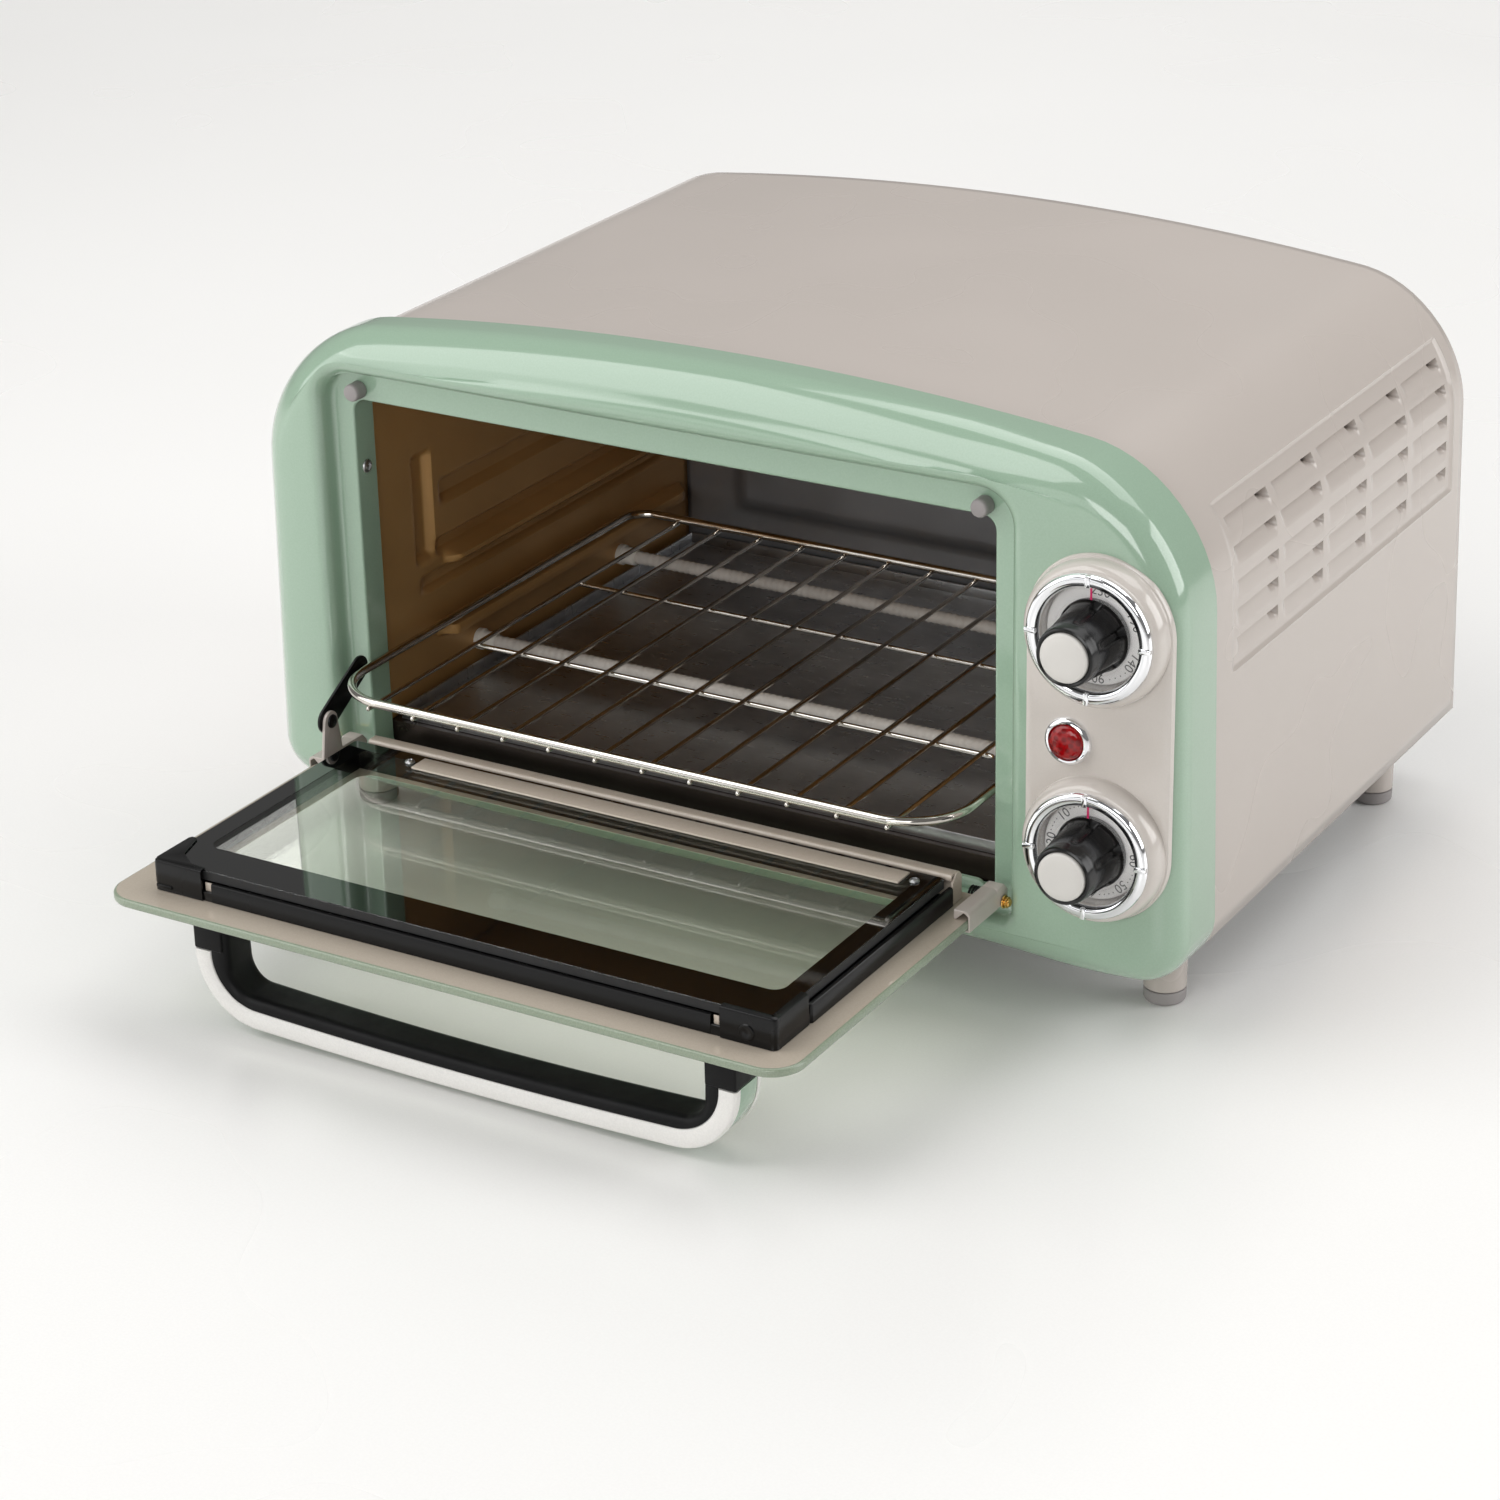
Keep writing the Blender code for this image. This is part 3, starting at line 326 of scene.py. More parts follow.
CERAMIC = moulded("ceramic", (226, 222, 212), (234, 230, 222), 0.45, 0.60, 0.00006)
GLASS = glass("door_glass", (0.900, 0.915, 0.875, 1.0))
GLASS_EDGE = painted("ground_glass_edge", (132, 144, 124), (142, 154, 134), 0.22, 0.30, 0.3, 0.00001)
CLEAR = thin_plastic("clear_plastic")
SILVER = moulded("dial_silver", (248, 246, 244), (252, 250, 248), 0.22, 0.30, 0.00001)
INK = moulded("dial_ink", (38, 36, 36), (44, 42, 42), 0.35, 0.45, 0.00001)
INDEX = moulded("index_ink", (206, 24, 96), (214, 34, 106), 0.25, 0.35, 0.00001)
LENS = lens("pilot_lens")


# ---------------------------------------------------------------- mesh tools

WELD = 0.00001  # points closer than this are joined
FOLD = 0.7  # an edge that turns by more than this, in radians, can be rounded
QUARTER = math.pi / 2


def piece(name, bm, finish, body, stands_for=None, bevel=0.0, thick=0.0, angle=35, welded=True):
    """Makes a visible piece of bm, whose points are in the seat frame, and lets it ride on a CAD body.

    stands_for is the CAD node that it replaces.
    """
    if welded:
        bmesh.ops.remove_doubles(bm, verts=bm.verts, dist=WELD)
    bmesh.ops.recalc_face_normals(bm, faces=bm.faces)
    bmesh.ops.translate(bm, verts=bm.verts, vec=SEAT)
    mesh = bpy.data.meshes.new(name)
    bm.to_mesh(mesh)
    bm.free()
    mesh.materials.append(finish)
    mesh.shade_smooth()
    mesh.set_sharp_from_angle(angle=math.radians(angle))
    obj = bpy.data.objects.new(name, mesh)
    bpy.context.scene.collection.objects.link(obj)
    if thick:
        solid = obj.modifiers.new("thickness", "SOLIDIFY")
        solid.thickness = thick
        solid.offset = -1.0
    if bevel:
        edge = obj.modifiers.new("edge", "BEVEL")
        edge.width = bevel
        edge.segments = 3
        edge.limit_method = "ANGLE"
        edge.angle_limit = math.radians(40)
        edge.harden_normals = True
    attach(obj, body)
    if stands_for:
        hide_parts(stands_for)
    return obj


def dress(finish, *names):
    """Gives CAD nodes that stay in view their material."""
    for name in names:
        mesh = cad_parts[name].data
        mesh.materials.clear()
        mesh.materials.append(finish)


def merged(parts):
    """Puts meshes into one, and frees them."""
    whole = bmesh.new()
    for part in parts:
        mesh = bpy.data.meshes.new("part")
        part.to_mesh(mesh)
        part.free()
        whole.from_mesh(mesh)
        bpy.data.meshes.remove(mesh)
    return whole


def block(low, high, bevel=0.0, segments=2):
    """A box between two corners."""
    bm = bmesh.new()
    bmesh.ops.create_cube(bm, size=1.0)
    low, high = Vector(low), Vector(high)
    bmesh.ops.scale(bm, verts=bm.verts, vec=high - low)
    bmesh.ops.translate(bm, verts=bm.verts, vec=(low + high) / 2)
    if bevel:
        bmesh.ops.bevel(bm, geom=bm.edges, offset=bevel, segments=segments, profile=0.5, affect="EDGES")
    return bm


def arc(centre, radius, start, end, steps):
    """Points along an arc between two angles in degrees."""
    found = []
    for i in range(steps + 1):
        angle = math.radians(start + (end - start) * i / steps)
        found.append((centre[0] + radius * math.cos(angle), centre[1] + radius * math.sin(angle)))
    return found


def turns(stop, steps):
    """The angles of an even turn from 0 to stop."""
    return [stop * i / steps for i in range(steps + 1)]


def flat(run, y):
    """A run of (x, z) points, stood up at a depth."""
    return [Vector((x, y, z)) for x, z in run]


def level(run, z):
    """A run of (x, y) points, laid at a height."""
    return [(x, y, z) for x, y in run]


def loft(loops, ring=False):
    """Bridges loops of 3-D points of one count. A ring comes back to its first loop, the rest gets caps."""
    bm = bmesh.new()
    rows = [[bm.verts.new(point) for point in loop] for loop in loops]
    count = len(rows[0])
    pairs = list(zip(rows, rows[1:])) + ([(rows[-1], rows[0])] if ring else [])
    for first, second in pairs:
        for i in range(count):
            j = (i + 1) % count
            bm.faces.new((first[i], first[j], second[j], second[i]))
    if not ring:
        bm.faces.new(rows[0])
        bm.faces.new(rows[-1])
    return bm


def prism(points, axis, low, high, bevel=0.0, segments=2):
    """A flat outline pushed along an axis. points are the two other coordinates, in the order x, y, z."""
    loops = []
    for along in (low, high):
        loop = []
        for a, b in points:
            corner = [a, b]
            corner.insert(axis, along)
            loop.append(Vector(corner))
        loops.append(loop)
    bm = loft(loops)
    bmesh.ops.recalc_face_normals(bm, faces=bm.faces)
    if bevel:
        folds = [edge for edge in bm.edges if len(edge.link_faces) == 2 and edge.calc_face_angle(0.0) > FOLD]
        bmesh.ops.bevel(bm, geom=folds, offset=bevel, segments=segments, profile=0.5, affect="EDGES")
    return bm


def plate_ring(outer, inner, low, high):
    """A flat ring between two (x, y) outlines of one count, from low to high."""
    rows = ((outer, low), (outer, high), (inner, high), (inner, low))
    return loft([level(run, z) for run, z in rows], ring=True)


def fillet(points, radius, steps=4):
    """Rounds the inner corners of a run of (radius, distance) points."""
    found = [points[0]]
    for before, here, after in zip(points, points[1:], points[2:]):
        corner = Vector(here)
        back, ahead = Vector(before) - corner, Vector(after) - corner
        reach = min(radius, back.length * 0.45, ahead.length * 0.45)
        start, end = corner + back.normalized() * reach, corner + ahead.normalized() * reach
        for i in range(steps + 1):
            t = i / steps
            found.append(tuple(start * (1 - t) ** 2 + corner * 2 * t * (1 - t) + end * t * t))
    found.append(points[-1])
    return found


AXIS_TURN = {
    "x": Matrix.Rotation(QUARTER, 4, "Y"),
    "y": Matrix.Rotation(QUARTER, 4, "X"),
    "z": Matrix(),
}


def turned(profile, axis, centre, segments=64, shape=None):
    """Turns a (radius, distance) profile about an axis. Along "y", distance counts to the front.
    shape(radius, distance, angle) may move each point."""
    bm = bmesh.new()
    rings = []
    for radius, along in profile:
        if radius == 0.0:
            rings.append([bm.verts.new((0.0, 0.0, along))])
            continue
        ring = []
        for i in range(segments):
            angle = 2 * math.pi * i / segments
            r, a = shape(radius, along, angle) if shape else (radius, along)
            ring.append(bm.verts.new((r * math.cos(angle), r * math.sin(angle), a)))
        rings.append(ring)
    pairs = list(zip(rings, rings[1:]))
    if len(rings[0]) > 1:
        pairs.append((rings[-1], rings[0]))
    for first, second in pairs:
        for i in range(segments):
            j = (i + 1) % segments
            corners = [first[i % len(first)], first[j % len(first)]]
            corners += [second[j % len(second)], second[i % len(second)]]
            bm.faces.new(list(dict.fromkeys(corners)))
    bmesh.ops.transform(bm, matrix=Matrix.Translation(centre) @ AXIS_TURN[axis], verts=bm.verts)
    return bm


def wire(points, radius, cyclic=False, resolution=4):
    """A round wire along points, with half-round ends."""
    curve = bpy.data.curves.new("wire", "CURVE")
    curve.dimensions = "3D"
    curve.bevel_depth = radius
    curve.bevel_resolution = resolution
    curve.use_fill_caps = not cyclic
    spline = curve.splines.new("POLY")
    spline.points.add(len(points) - 1)
    for knot, point in zip(spline.points, points):
        knot.co = (*point, 1.0)
    spline.use_cyclic_u = cyclic
    holder = bpy.data.objects.new("wire", curve)
    mesh = bpy.data.meshes.new_from_object(holder)
    bm = bmesh.new()
    bm.from_mesh(mesh)
    bpy.data.objects.remove(holder)
    bpy.data.meshes.remove(mesh)
    if not cyclic:
        for end in (points[0], points[-1]):
            ball = bmesh.new()
            bmesh.ops.create_uvsphere(ball, u_segments=12, v_segments=8, radius=radius)
            bmesh.ops.translate(ball, verts=ball.verts, vec=end)
            bm = merged([bm, ball])
    return bm


def smooth_step(value, low, high):
    """0 below low, 1 above high, and smooth between them."""
    t = min(1.0, max(0.0, (value - low) / (high - low)))
    return t * t * (3 - 2 * t)


def steps_between(low, high, pitch):
    """Even steps from low to just short of high, about a pitch apart."""
    count = max(1, round((high - low) / pitch))
    return [low + (high - low) * i / count for i in range(count)]


# ---------------------------------------------------------------- casing

def warp(x, z):
    """Gives the casing its arched top and its sides that lean in."""
    height = max((z - BEZEL_LOW) / (BEZEL_TOP - BEZEL_LOW), 0.0)
    return x * (1.0 - DRAW * height), z + CROWN * (1.0 - (x / HALF_WIDTH) ** 2) * height


def lifted(x, z):
    """The casing's shape, with its lower edge also rising towards the corners."""
    leaned, height = warp(x, z)
    return leaned, height + LOW_CROWN * (x / HALF_WIDTH) ** 4 * max(0.0, 1.0 - (z - BEZEL_LOW) / 0.10)


def outline(x0, x1, z0, z1, low_radius, top_radius, shape=None):
    """A rounded rectangle as (x, z) points, anticlockwise from the lower left, always the same count."""
    corner, across, up = 14, 30, 10
    lows, tops = max(low_radius, 0.0004), max(top_radius, 0.0004)

    def straight(a, b, count):
        return [(a[0] + (b[0] - a[0]) * i / count, a[1] + (b[1] - a[1]) * i / count) for i in range(1, count)]

    points = arc((x0 + lows, z0 + lows), lows, 180, 270, corner)
    points += straight((x0 + lows, z0), (x1 - lows, z0), across)
    points += arc((x1 - lows, z0 + lows), lows, 270, 360, corner)
    points += straight((x1, z0 + lows), (x1, z1 - tops), up)
    points += arc((x1 - tops, z1 - tops), tops, 0, 90, corner)
    points += straight((x1 - tops, z1), (x0 + tops, z1), across)
    points += arc((x0 + tops, z1 - tops), tops, 90, 180, corner)
    points += straight((x0, z1 - tops), (x0, z0 + lows), up)
    return [shape(x, z) for x, z in points] if shape else points


def casing(inset):
    """The front's outline, drawn in by inset."""
    return outline(
        -HALF_WIDTH + inset, HALF_WIDTH - inset, BEZEL_LOW + inset, BEZEL_TOP - inset,
        LOW_RADIUS - inset, TOP_RADIUS - inset, lifted,
    )


def seat(grow):
    """The recess that the door lies in, widened by grow."""
    return outline(
        OPEN_X - SEAT_HALF - grow, OPEN_X + SEAT_HALF + grow, SEAT_LOW - grow, SEAT_TOP + grow,
        0.003 + grow, 0.014 + grow,
    )


def opening(grow):
    """The opening into the cavity, widened by grow."""
    return outline(
        OPEN_X - OPEN_HALF - grow, OPEN_X + OPEN_HALF + grow, OPEN_LOW - grow, OPEN_TOP + grow,
        0.004 + grow, 0.006 + grow,
    )


def capsule(radius):
    """The panel's outline: a half circle round each dial."""
    top = arc((DIAL_X, DIAL_Z["thermostat"]), radius, 0, 180, 48)
    return top + arc((DIAL_X, DIAL_Z["timer"]), radius, 180, 360, 48)


def rim(broad, tight):
    """A loop of the rolled edge, each given as (inset, y): broad round the door, tight beside the dials."""
    points = []
    for (ax, az), (bx, bz) in zip(casing(broad[0]), casing(tight[0])):
        share = smooth_step(bx, *ROLL_BLEND)
        points.append(Vector((ax, broad[1], az)).lerp(Vector((bx, tight[1], bz)), share))
    return points


def make_bezel():
    """The moulded front: a broad rolled outer edge, and a soft roll down to the door's ledge."""
    wide, deep, stop = 0.0235, 0.0235, 1.155  # reach of the broad roll, and the angle that it ends at
    edge, roll, fillet_radius, lip, wall = 0.013, 0.0055, 0.0022, 0.0012, 0.0025
    back = BEZEL_BACK - 0.0006
    loops = [flat(casing(0.0), back), flat(casing(0.0), 0.019)]
    for turn, quarter in zip(turns(stop, 12), turns(QUARTER, 12)):
        broad = (wide * (1 - math.cos(turn)), FRONT + deep * (1 - math.sin(turn)))
        loops.append(rim(broad, (edge * (1 - math.cos(quarter)), FRONT + edge * (1 - math.sin(quarter)))))
    outer, inner = loops[-1], flat(seat(roll), FRONT)
    for i in range(1, 8):
        share = i / 8
        run = [a.lerp(b, share) for a, b in zip(outer, inner)]
        for point, a in zip(run, outer):
            point.y = FRONT + (a.y - FRONT) * (1 - share) ** 2
        loops.append(run)
    for turn in turns(QUARTER, 8):
        loops.append(flat(seat(roll * (1 - math.sin(turn))), FRONT + roll * (1 - math.cos(turn))))
    for turn in turns(QUARTER, 5):
        loops.append(flat(seat(-fillet_radius * (1 - math.cos(turn))), -fillet_radius * (1 - math.sin(turn))))
    for turn in turns(QUARTER, 4):
        loops.append(flat(opening(lip * (1 - math.sin(turn))), lip * (1 - math.cos(turn))))
    loops += [flat(opening(0.0), OPEN_DEPTH), flat(opening(0.0018), OPEN_DEPTH), flat(opening(0.0018), wall)]
    loops += [flat(seat(wall), wall), flat(seat(wall + 0.002), FRONT + wall + 0.002)]
    loops += [rim((0.0160, -0.0045), (edge + wall, FRONT + wall + 0.002))]
    loops += [rim((0.0060, 0.0040), (wall + 0.003, 0.0)), rim((wall, 0.0150), (wall, 0.012))]
    loops += [flat(casing(wall), back)]
    sill = [(-0.1480, 0.0456), (0.1480, 0.0456)] + arc((0.1430, 0.0468), 0.0046, 0, 90, 8)
    sill += arc((-0.1430, 0.0468), 0.0046, 90, 180, 8)
    sill_lip = prism([(OPEN_X + x, z) for x, z in sill], 1, 0.0045, 0.0065, 0.0006)
    parts = merged([loft(loops, ring=True), sill_lip])
    piece("bezel_moulding", parts, MINT, "casing", "front_bezel")


class Arch:
    """The casing's outline, by distance from the lower left, over the top and down to the lower right."""

    def __init__(self, inset):
        half, radius, top = HALF_WIDTH - inset, TOP_RADIUS - inset, BEZEL_TOP - inset
        run = [(-half, SHELL_LOW + (top - radius - SHELL_LOW) * i / 24) for i in range(24)]
        run += arc((-half + radius, top - radius), radius, 180, 90, 40)
        run += [((-half + radius) * (1 - 2 * i / 60), top) for i in range(1, 60)]
        run += arc((half - radius, top - radius), radius, 90, 0, 40)
        run += [(half, top - radius - (top - radius - SHELL_LOW) * i / 24) for i in range(1, 25)]
        self.points = [Vector(warp(x, z)) for x, z in run]
        self.marks = [0.0]
        for first, second in zip(self.points, self.points[1:]):
            self.marks.append(self.marks[-1] + (second - first).length)
        self.length = self.marks[-1]

    def at(self, distance):
        """The point at a distance along the arch, and the outward normal there."""
        distance = min(max(distance, 0.0), self.length - 1e-9)
        i = 0
        while self.marks[i + 1] < distance:
            i += 1
        share = (distance - self.marks[i]) / (self.marks[i + 1] - self.marks[i])
        ahead = min(i + 2, len(self.points) - 1)
        tangent = (self.points[ahead] - self.points[max(i - 1, 0)]).normalized()
        return self.points[i].lerp(self.points[i + 1], share), Vector((-tangent.y, tangent.x))

    def distance_at_height(self, height):
        """How far along the left-hand side the arch reaches a height."""
        for mark, point in zip(self.marks, self.points):
            if point.y >= height:
                return mark
        return self.length / 2


LOUVRE_ROWS = 5
LOUVRE_COLUMNS = 5
LOUVRE_Y = 0.055
LOUVRE_PITCH = 0.0458
LOUVRE_LONG = 0.041
LOUVRE_TOP = 0.2048
LOUVRE_STEP = 0.0123
LOUVRE_TALL = 0.0086
FIELD_FRONT = 0.0500
FIELD_BACK = LOUVRE_Y + LOUVRE_COLUMNS * LOUVRE_PITCH
MOUTH = 0.0085  # length of the open rear end of each louvre


def louvre_depth(along, down):
    """How deep the side is pressed in, at a place measured along the row and down from its upper edge."""
    if not (0.0 < along < LOUVRE_LONG and 0.0 < down < LOUVRE_TALL):
        return 0.0
    slope = 1.0 - down / LOUVRE_TALL
    start = smooth_step(along, 0.0, 0.0035)
    end = 1.0 - smooth_step(along, LOUVRE_LONG - 0.0012, LOUVRE_LONG)
    depth = 0.0019 * slope ** 1.3 * start * end
    mouth = smooth_step(along, LOUVRE_LONG - MOUTH, LOUVRE_LONG - 0.0015) * end
    return depth + 0.0042 * mouth * smooth_step(slope, 0.42, 0.95)


def make_shell():
    """The pressed steel cover, with a sunk field of louvres in each side."""
    arch = Arch(SHELL_INSET)
    field_top = arch.distance_at_height(LOUVRE_TOP + 0.0078)
    field_low = arch.distance_at_height(LOUVRE_TOP - LOUVRE_STEP * (LOUVRE_ROWS - 1) - LOUVRE_TALL - 0.0070)
    row_marks = [arch.distance_at_height(LOUVRE_TOP - LOUVRE_STEP * row) for row in range(LOUVRE_ROWS)]
    side = steps_between(0.0, field_low - 0.003, 0.006)
    side += steps_between(field_low - 0.003, field_top + 0.003, 0.00055)
    side += steps_between(field_top + 0.003, arch.length / 2, 0.006)
    marks = side + [arch.length / 2] + [arch.length - mark for mark in reversed(side)]
    front = SHELL_FRONT - 0.0002
    depths = steps_between(front, FIELD_FRONT - 0.002, 0.0012)
    for column in range(LOUVRE_COLUMNS):
        start = LOUVRE_Y + column * LOUVRE_PITCH
        depths += steps_between(depths[-1] + 0.0008, start + LOUVRE_LONG - MOUTH, 0.0016)
        depths += steps_between(start + LOUVRE_LONG - MOUTH, start + LOUVRE_LONG + 0.0005, 0.0006)
    depths += steps_between(depths[-1] + 0.0008, FIELD_BACK + 0.004, 0.0009)
    depths += steps_between(FIELD_BACK + 0.004, SHELL_BACK, 0.004) + [SHELL_BACK]

    def sunk(mark, y):
        """Depth of the pressing at a place, and whether the steel is open there."""
        mark = min(mark, arch.length - mark)
        inside = min(mark - field_low, field_top - mark, y - FIELD_FRONT, FIELD_BACK - y)
        if inside < -0.001:
            return 0.0, False
        depth = 0.0009 * smooth_step(inside, -0.0004, 0.0016)
        bead = 0.00035 * max(0.0, 1.0 - abs(inside + 0.0002) / 0.0008)
        column = int((y - LOUVRE_Y) // LOUVRE_PITCH)
        if not 0 <= column < LOUVRE_COLUMNS:
            return depth - bead, False
        along = y - LOUVRE_Y - column * LOUVRE_PITCH
        pressed = max(louvre_depth(along, row - mark) for row in row_marks)
        return depth - bead + pressed, pressed > 0.0047

    bm = bmesh.new()
    rows, open_rows = [], []
    for mark in marks:
        point, normal = arch.at(mark)
        row, is_open = [], []
        for y in depths:
            depth, gone = sunk(mark, y)
            rolled = 0.0008 * (1.0 - smooth_step(y, front, front + 0.0025))
            spot = point - normal * (depth + rolled)
            row.append(bm.verts.new((spot.x, y, spot.y)))
            is_open.append(gone)
        rows.append(row)
        open_rows.append(is_open)
    for i in range(len(rows) - 1):
        for j in range(len(depths) - 1):
            if all(row[column] for row in open_rows[i:i + 2] for column in (j, j + 1)):
                continue
            bm.faces.new((rows[i][j], rows[i][j + 1], rows[i + 1][j + 1], rows[i + 1][j]))
    piece("shell_pressing", bm, GREIGE, "casing", "outer_shell", thick=0.0008)


def phillips(centre, axis, side, radius=0.0030):
    """A pan-head screw with a cross recess. side is the way that its head points along the axis."""
    dome = [(0.0, 0.0), (radius, 0.0), (radius, 0.0003), (radius * 0.92, 0.0007), (radius * 0.6, 0.0011)]
    dome += [(radius * 0.42, 0.0012), (radius * 0.30, 0.0004), (0.0, 0.0003)]

    def cross(r, along, angle):
        if abs(along) > 0.00035 and r < radius * 0.5:
            return r * (1.0 + 0.5 * (1.0 - abs(math.sin(2 * angle)))), along
        return r, along

    return turned([(r, side * a) for r, a in dome], axis, centre, 48, cross)


def make_base():
    """The base plate with its beads and slots, and the feet with their rubber tips."""
    low, high = corners("base_plate")
    parts = [block(low, high, 0.0003, 1)]
    for x in (-0.120, -0.040, 0.040, 0.120):
        ends = (low.y + 0.03, low.z - 0.0009), (high.y - 0.03, low.z + 0.0004)
        parts.append(block((x - 0.004, *ends[0]), (x + 0.004, *ends[1]), 0.0008))
    for x in (-0.080, 0.0, 0.080):
        for y in (0.120, 0.132, 0.144, 0.156, 0.168):
            ends = (y - 0.0015, low.z - 0.0005), (y + 0.0015, low.z + 0.0002)
            parts.append(block((x - 0.012, *ends[0]), (x + 0.012, *ends[1]), 0.0004, 1))
    piece("base_pressing", merged(parts), ZINC, "casing", "base_plate")
    top = low.z - GAP
    for depth in ("front", "rear"):
        for name in ("left", "right"):
            place = f"{depth}_{name}"
            centre = middle(f"foot_{place}")
            centre.z = 0.0
            foot = [(0.0, 0.0064), (0.0086, 0.0064), (0.0090, 0.0068), (0.0093, top - 0.0016)]
            foot += [(0.0104, top - 0.0010), (0.0104, top), (0.0, top)]
            body = turned(fillet(foot, 0.0008), "z", centre, 48)
            piece(f"foot_column_{place}", body, GREIGE, "casing", f"foot_{place}")
            tip = [(0.0, 0.0004), (0.0052, 0.0004), (0.0056, 0.0), (0.0076, 0.0), (0.0088, 0.0012)]
            tip += [(0.0090, 0.0060), (0.0, 0.0060)]
            body = turned(fillet(tip, 0.0007), "z", centre, 48)
            piece(f"rubber_foot_{place}", body, RUBBER, "casing", f"foot_tip_{place}")


def make_rear():
    """The back plate: a flange, a sunk field with black blocks painted in as the shade of its vent slots, its
    screws, and the gland.
    """
    arch = Arch(SHELL_INSET + 0.0016)
    face = SHELL_BACK - 0.0015
    low = SHELL_LOW + 0.0013
    flange = 0.006
    edge = [arch.at(arch.length * i / 160)[0] for i in range(161)]
    centre = Vector((0.0, 0.13))

    def drawn(inset):
        found = []
        for point in edge:
            spot = point + (centre - point).normalized() * inset
            found.append((spot.x, max(spot.y, low + inset)))
        return found

    shape = [(0.0, face - 0.0010), (0.0, face), (flange, face), (flange + 0.0016, face - 0.0016)]
    shape += [(flange + 0.0040, face - 0.0018)]
    loops = [flat(drawn(inset), y) for inset, y in shape]
    rows = 9
    for i in range(1, rows):
        share = i / rows
        run = [(x + (centre.x - x) * share, z + (0.10 - z) * share) for x, z in drawn(flange + 0.0040)]
        loops.append(flat(run, face - 0.0018))
    # The vent slots are not cut: black blocks stand in for them, painted shade where the openings would show
    # the dark inside.
    slots = []
    for i in range(11):
        x = 0.012 * (i - 5)
        slots.append(block((x - 0.0016, face - 0.0030, 0.150), (x + 0.0016, face - 0.0016, 0.195), 0.0007))
    piece("rear_pressing", loft(loops), ZINC, "casing", "rear_panel")
    piece("rear_vent_shade", merged(slots), BLACK_STEEL, "casing")
    places = [(side * x, z) for x, z in ((0.200, 0.045), (0.200, 0.150), (0.110, 0.232)) for side in (-1, 1)]
    screws = [phillips((x, face - 0.0017, z), "y", -1) for x, z in places]
    piece("rear_screws", merged(screws), ZINC, "casing")
    gland_centre = middle("cord_gland")
    gland_centre.y = 0.0
    gland = [(0.0, -0.001), (0.0058, -0.001), (0.0058, 0.0002), (0.0092, 0.0002), (0.0092, 0.0026)]
    gland += [(0.0060, 0.0040), (0.0056, 0.0062), (0.0061, 0.0066), (0.0053, 0.0090), (0.0046, 0.0108)]
    gland += [(0.0, 0.0108)]
    boot = turned(fillet([(r, -face - a) for r, a in gland], 0.0005, 3), "y", gland_centre, 48)
    piece("gland_boot", boot, CORD_RUBBER, "casing", "cord_gland")


# ---------------------------------------------------------------- inside

CAVITY_FRONT, CAVITY_BACK = span("cavity_roof", 1)
CAVITY_FLOOR_Z = span("cavity_left_wall", 2)[0]
CAVITY_ROOF_Z = span("cavity_roof", 2)[0]
CAVITY_HALF = 0.156
CAVITY_SHEET = 0.0006


def groove(value, centre, half, soft):
    """1 inside a band about centre, 0 outside it, and soft at its edges."""
    return 1.0 - smooth_step(abs(value - centre), half - soft, half)


def wall_relief(y, z):
    """How far a side wall stands in from its sheet: ribs inwards, channels outwards."""
    relief = -0.0040 * groove(y, 0.0478, 0.0080, 0.0034) * groove(z, 0.1465, 0.0270, 0.0050)
    relief -= 0.0042 * groove(z, 0.1495, 0.0068, 0.0034) * smooth_step(y, 0.0590, 0.0660)
    relief -= 0.0036 * groove(z, 0.1245, 0.0050, 0.0028) * smooth_step(y, 0.0530, 0.0620)
    relief += 0.0060 * groove(z, 0.1175, 0.0030, 0.0022) * smooth_step(y, 0.0600, 0.0680)
    relief -= 0.0036 * groove(z, 0.1105, 0.0050, 0.0028) * smooth_step(y, 0.0410, 0.0500)
    relief += 0.0088 * groove(z, 0.0863, 0.0032, 0.0012) * smooth_step(y, 0.0520, 0.0580)
    return relief * (1.0 - smooth_step(y, 0.250, 0.262))


def relief_sheet(spots, height):
    """A sheet from a grid of (point, normal, u, v), pushed along the normal by height(u, v)."""
    bm = bmesh.new()
    rows = [[bm.verts.new(point + normal * height(u, v)) for point, normal, u, v in row] for row in spots]
    for first, second in zip(rows, rows[1:]):
        for j in range(len(first) - 1):
            bm.faces.new((first[j], first[j + 1], second[j + 1], second[j]))
    return bm


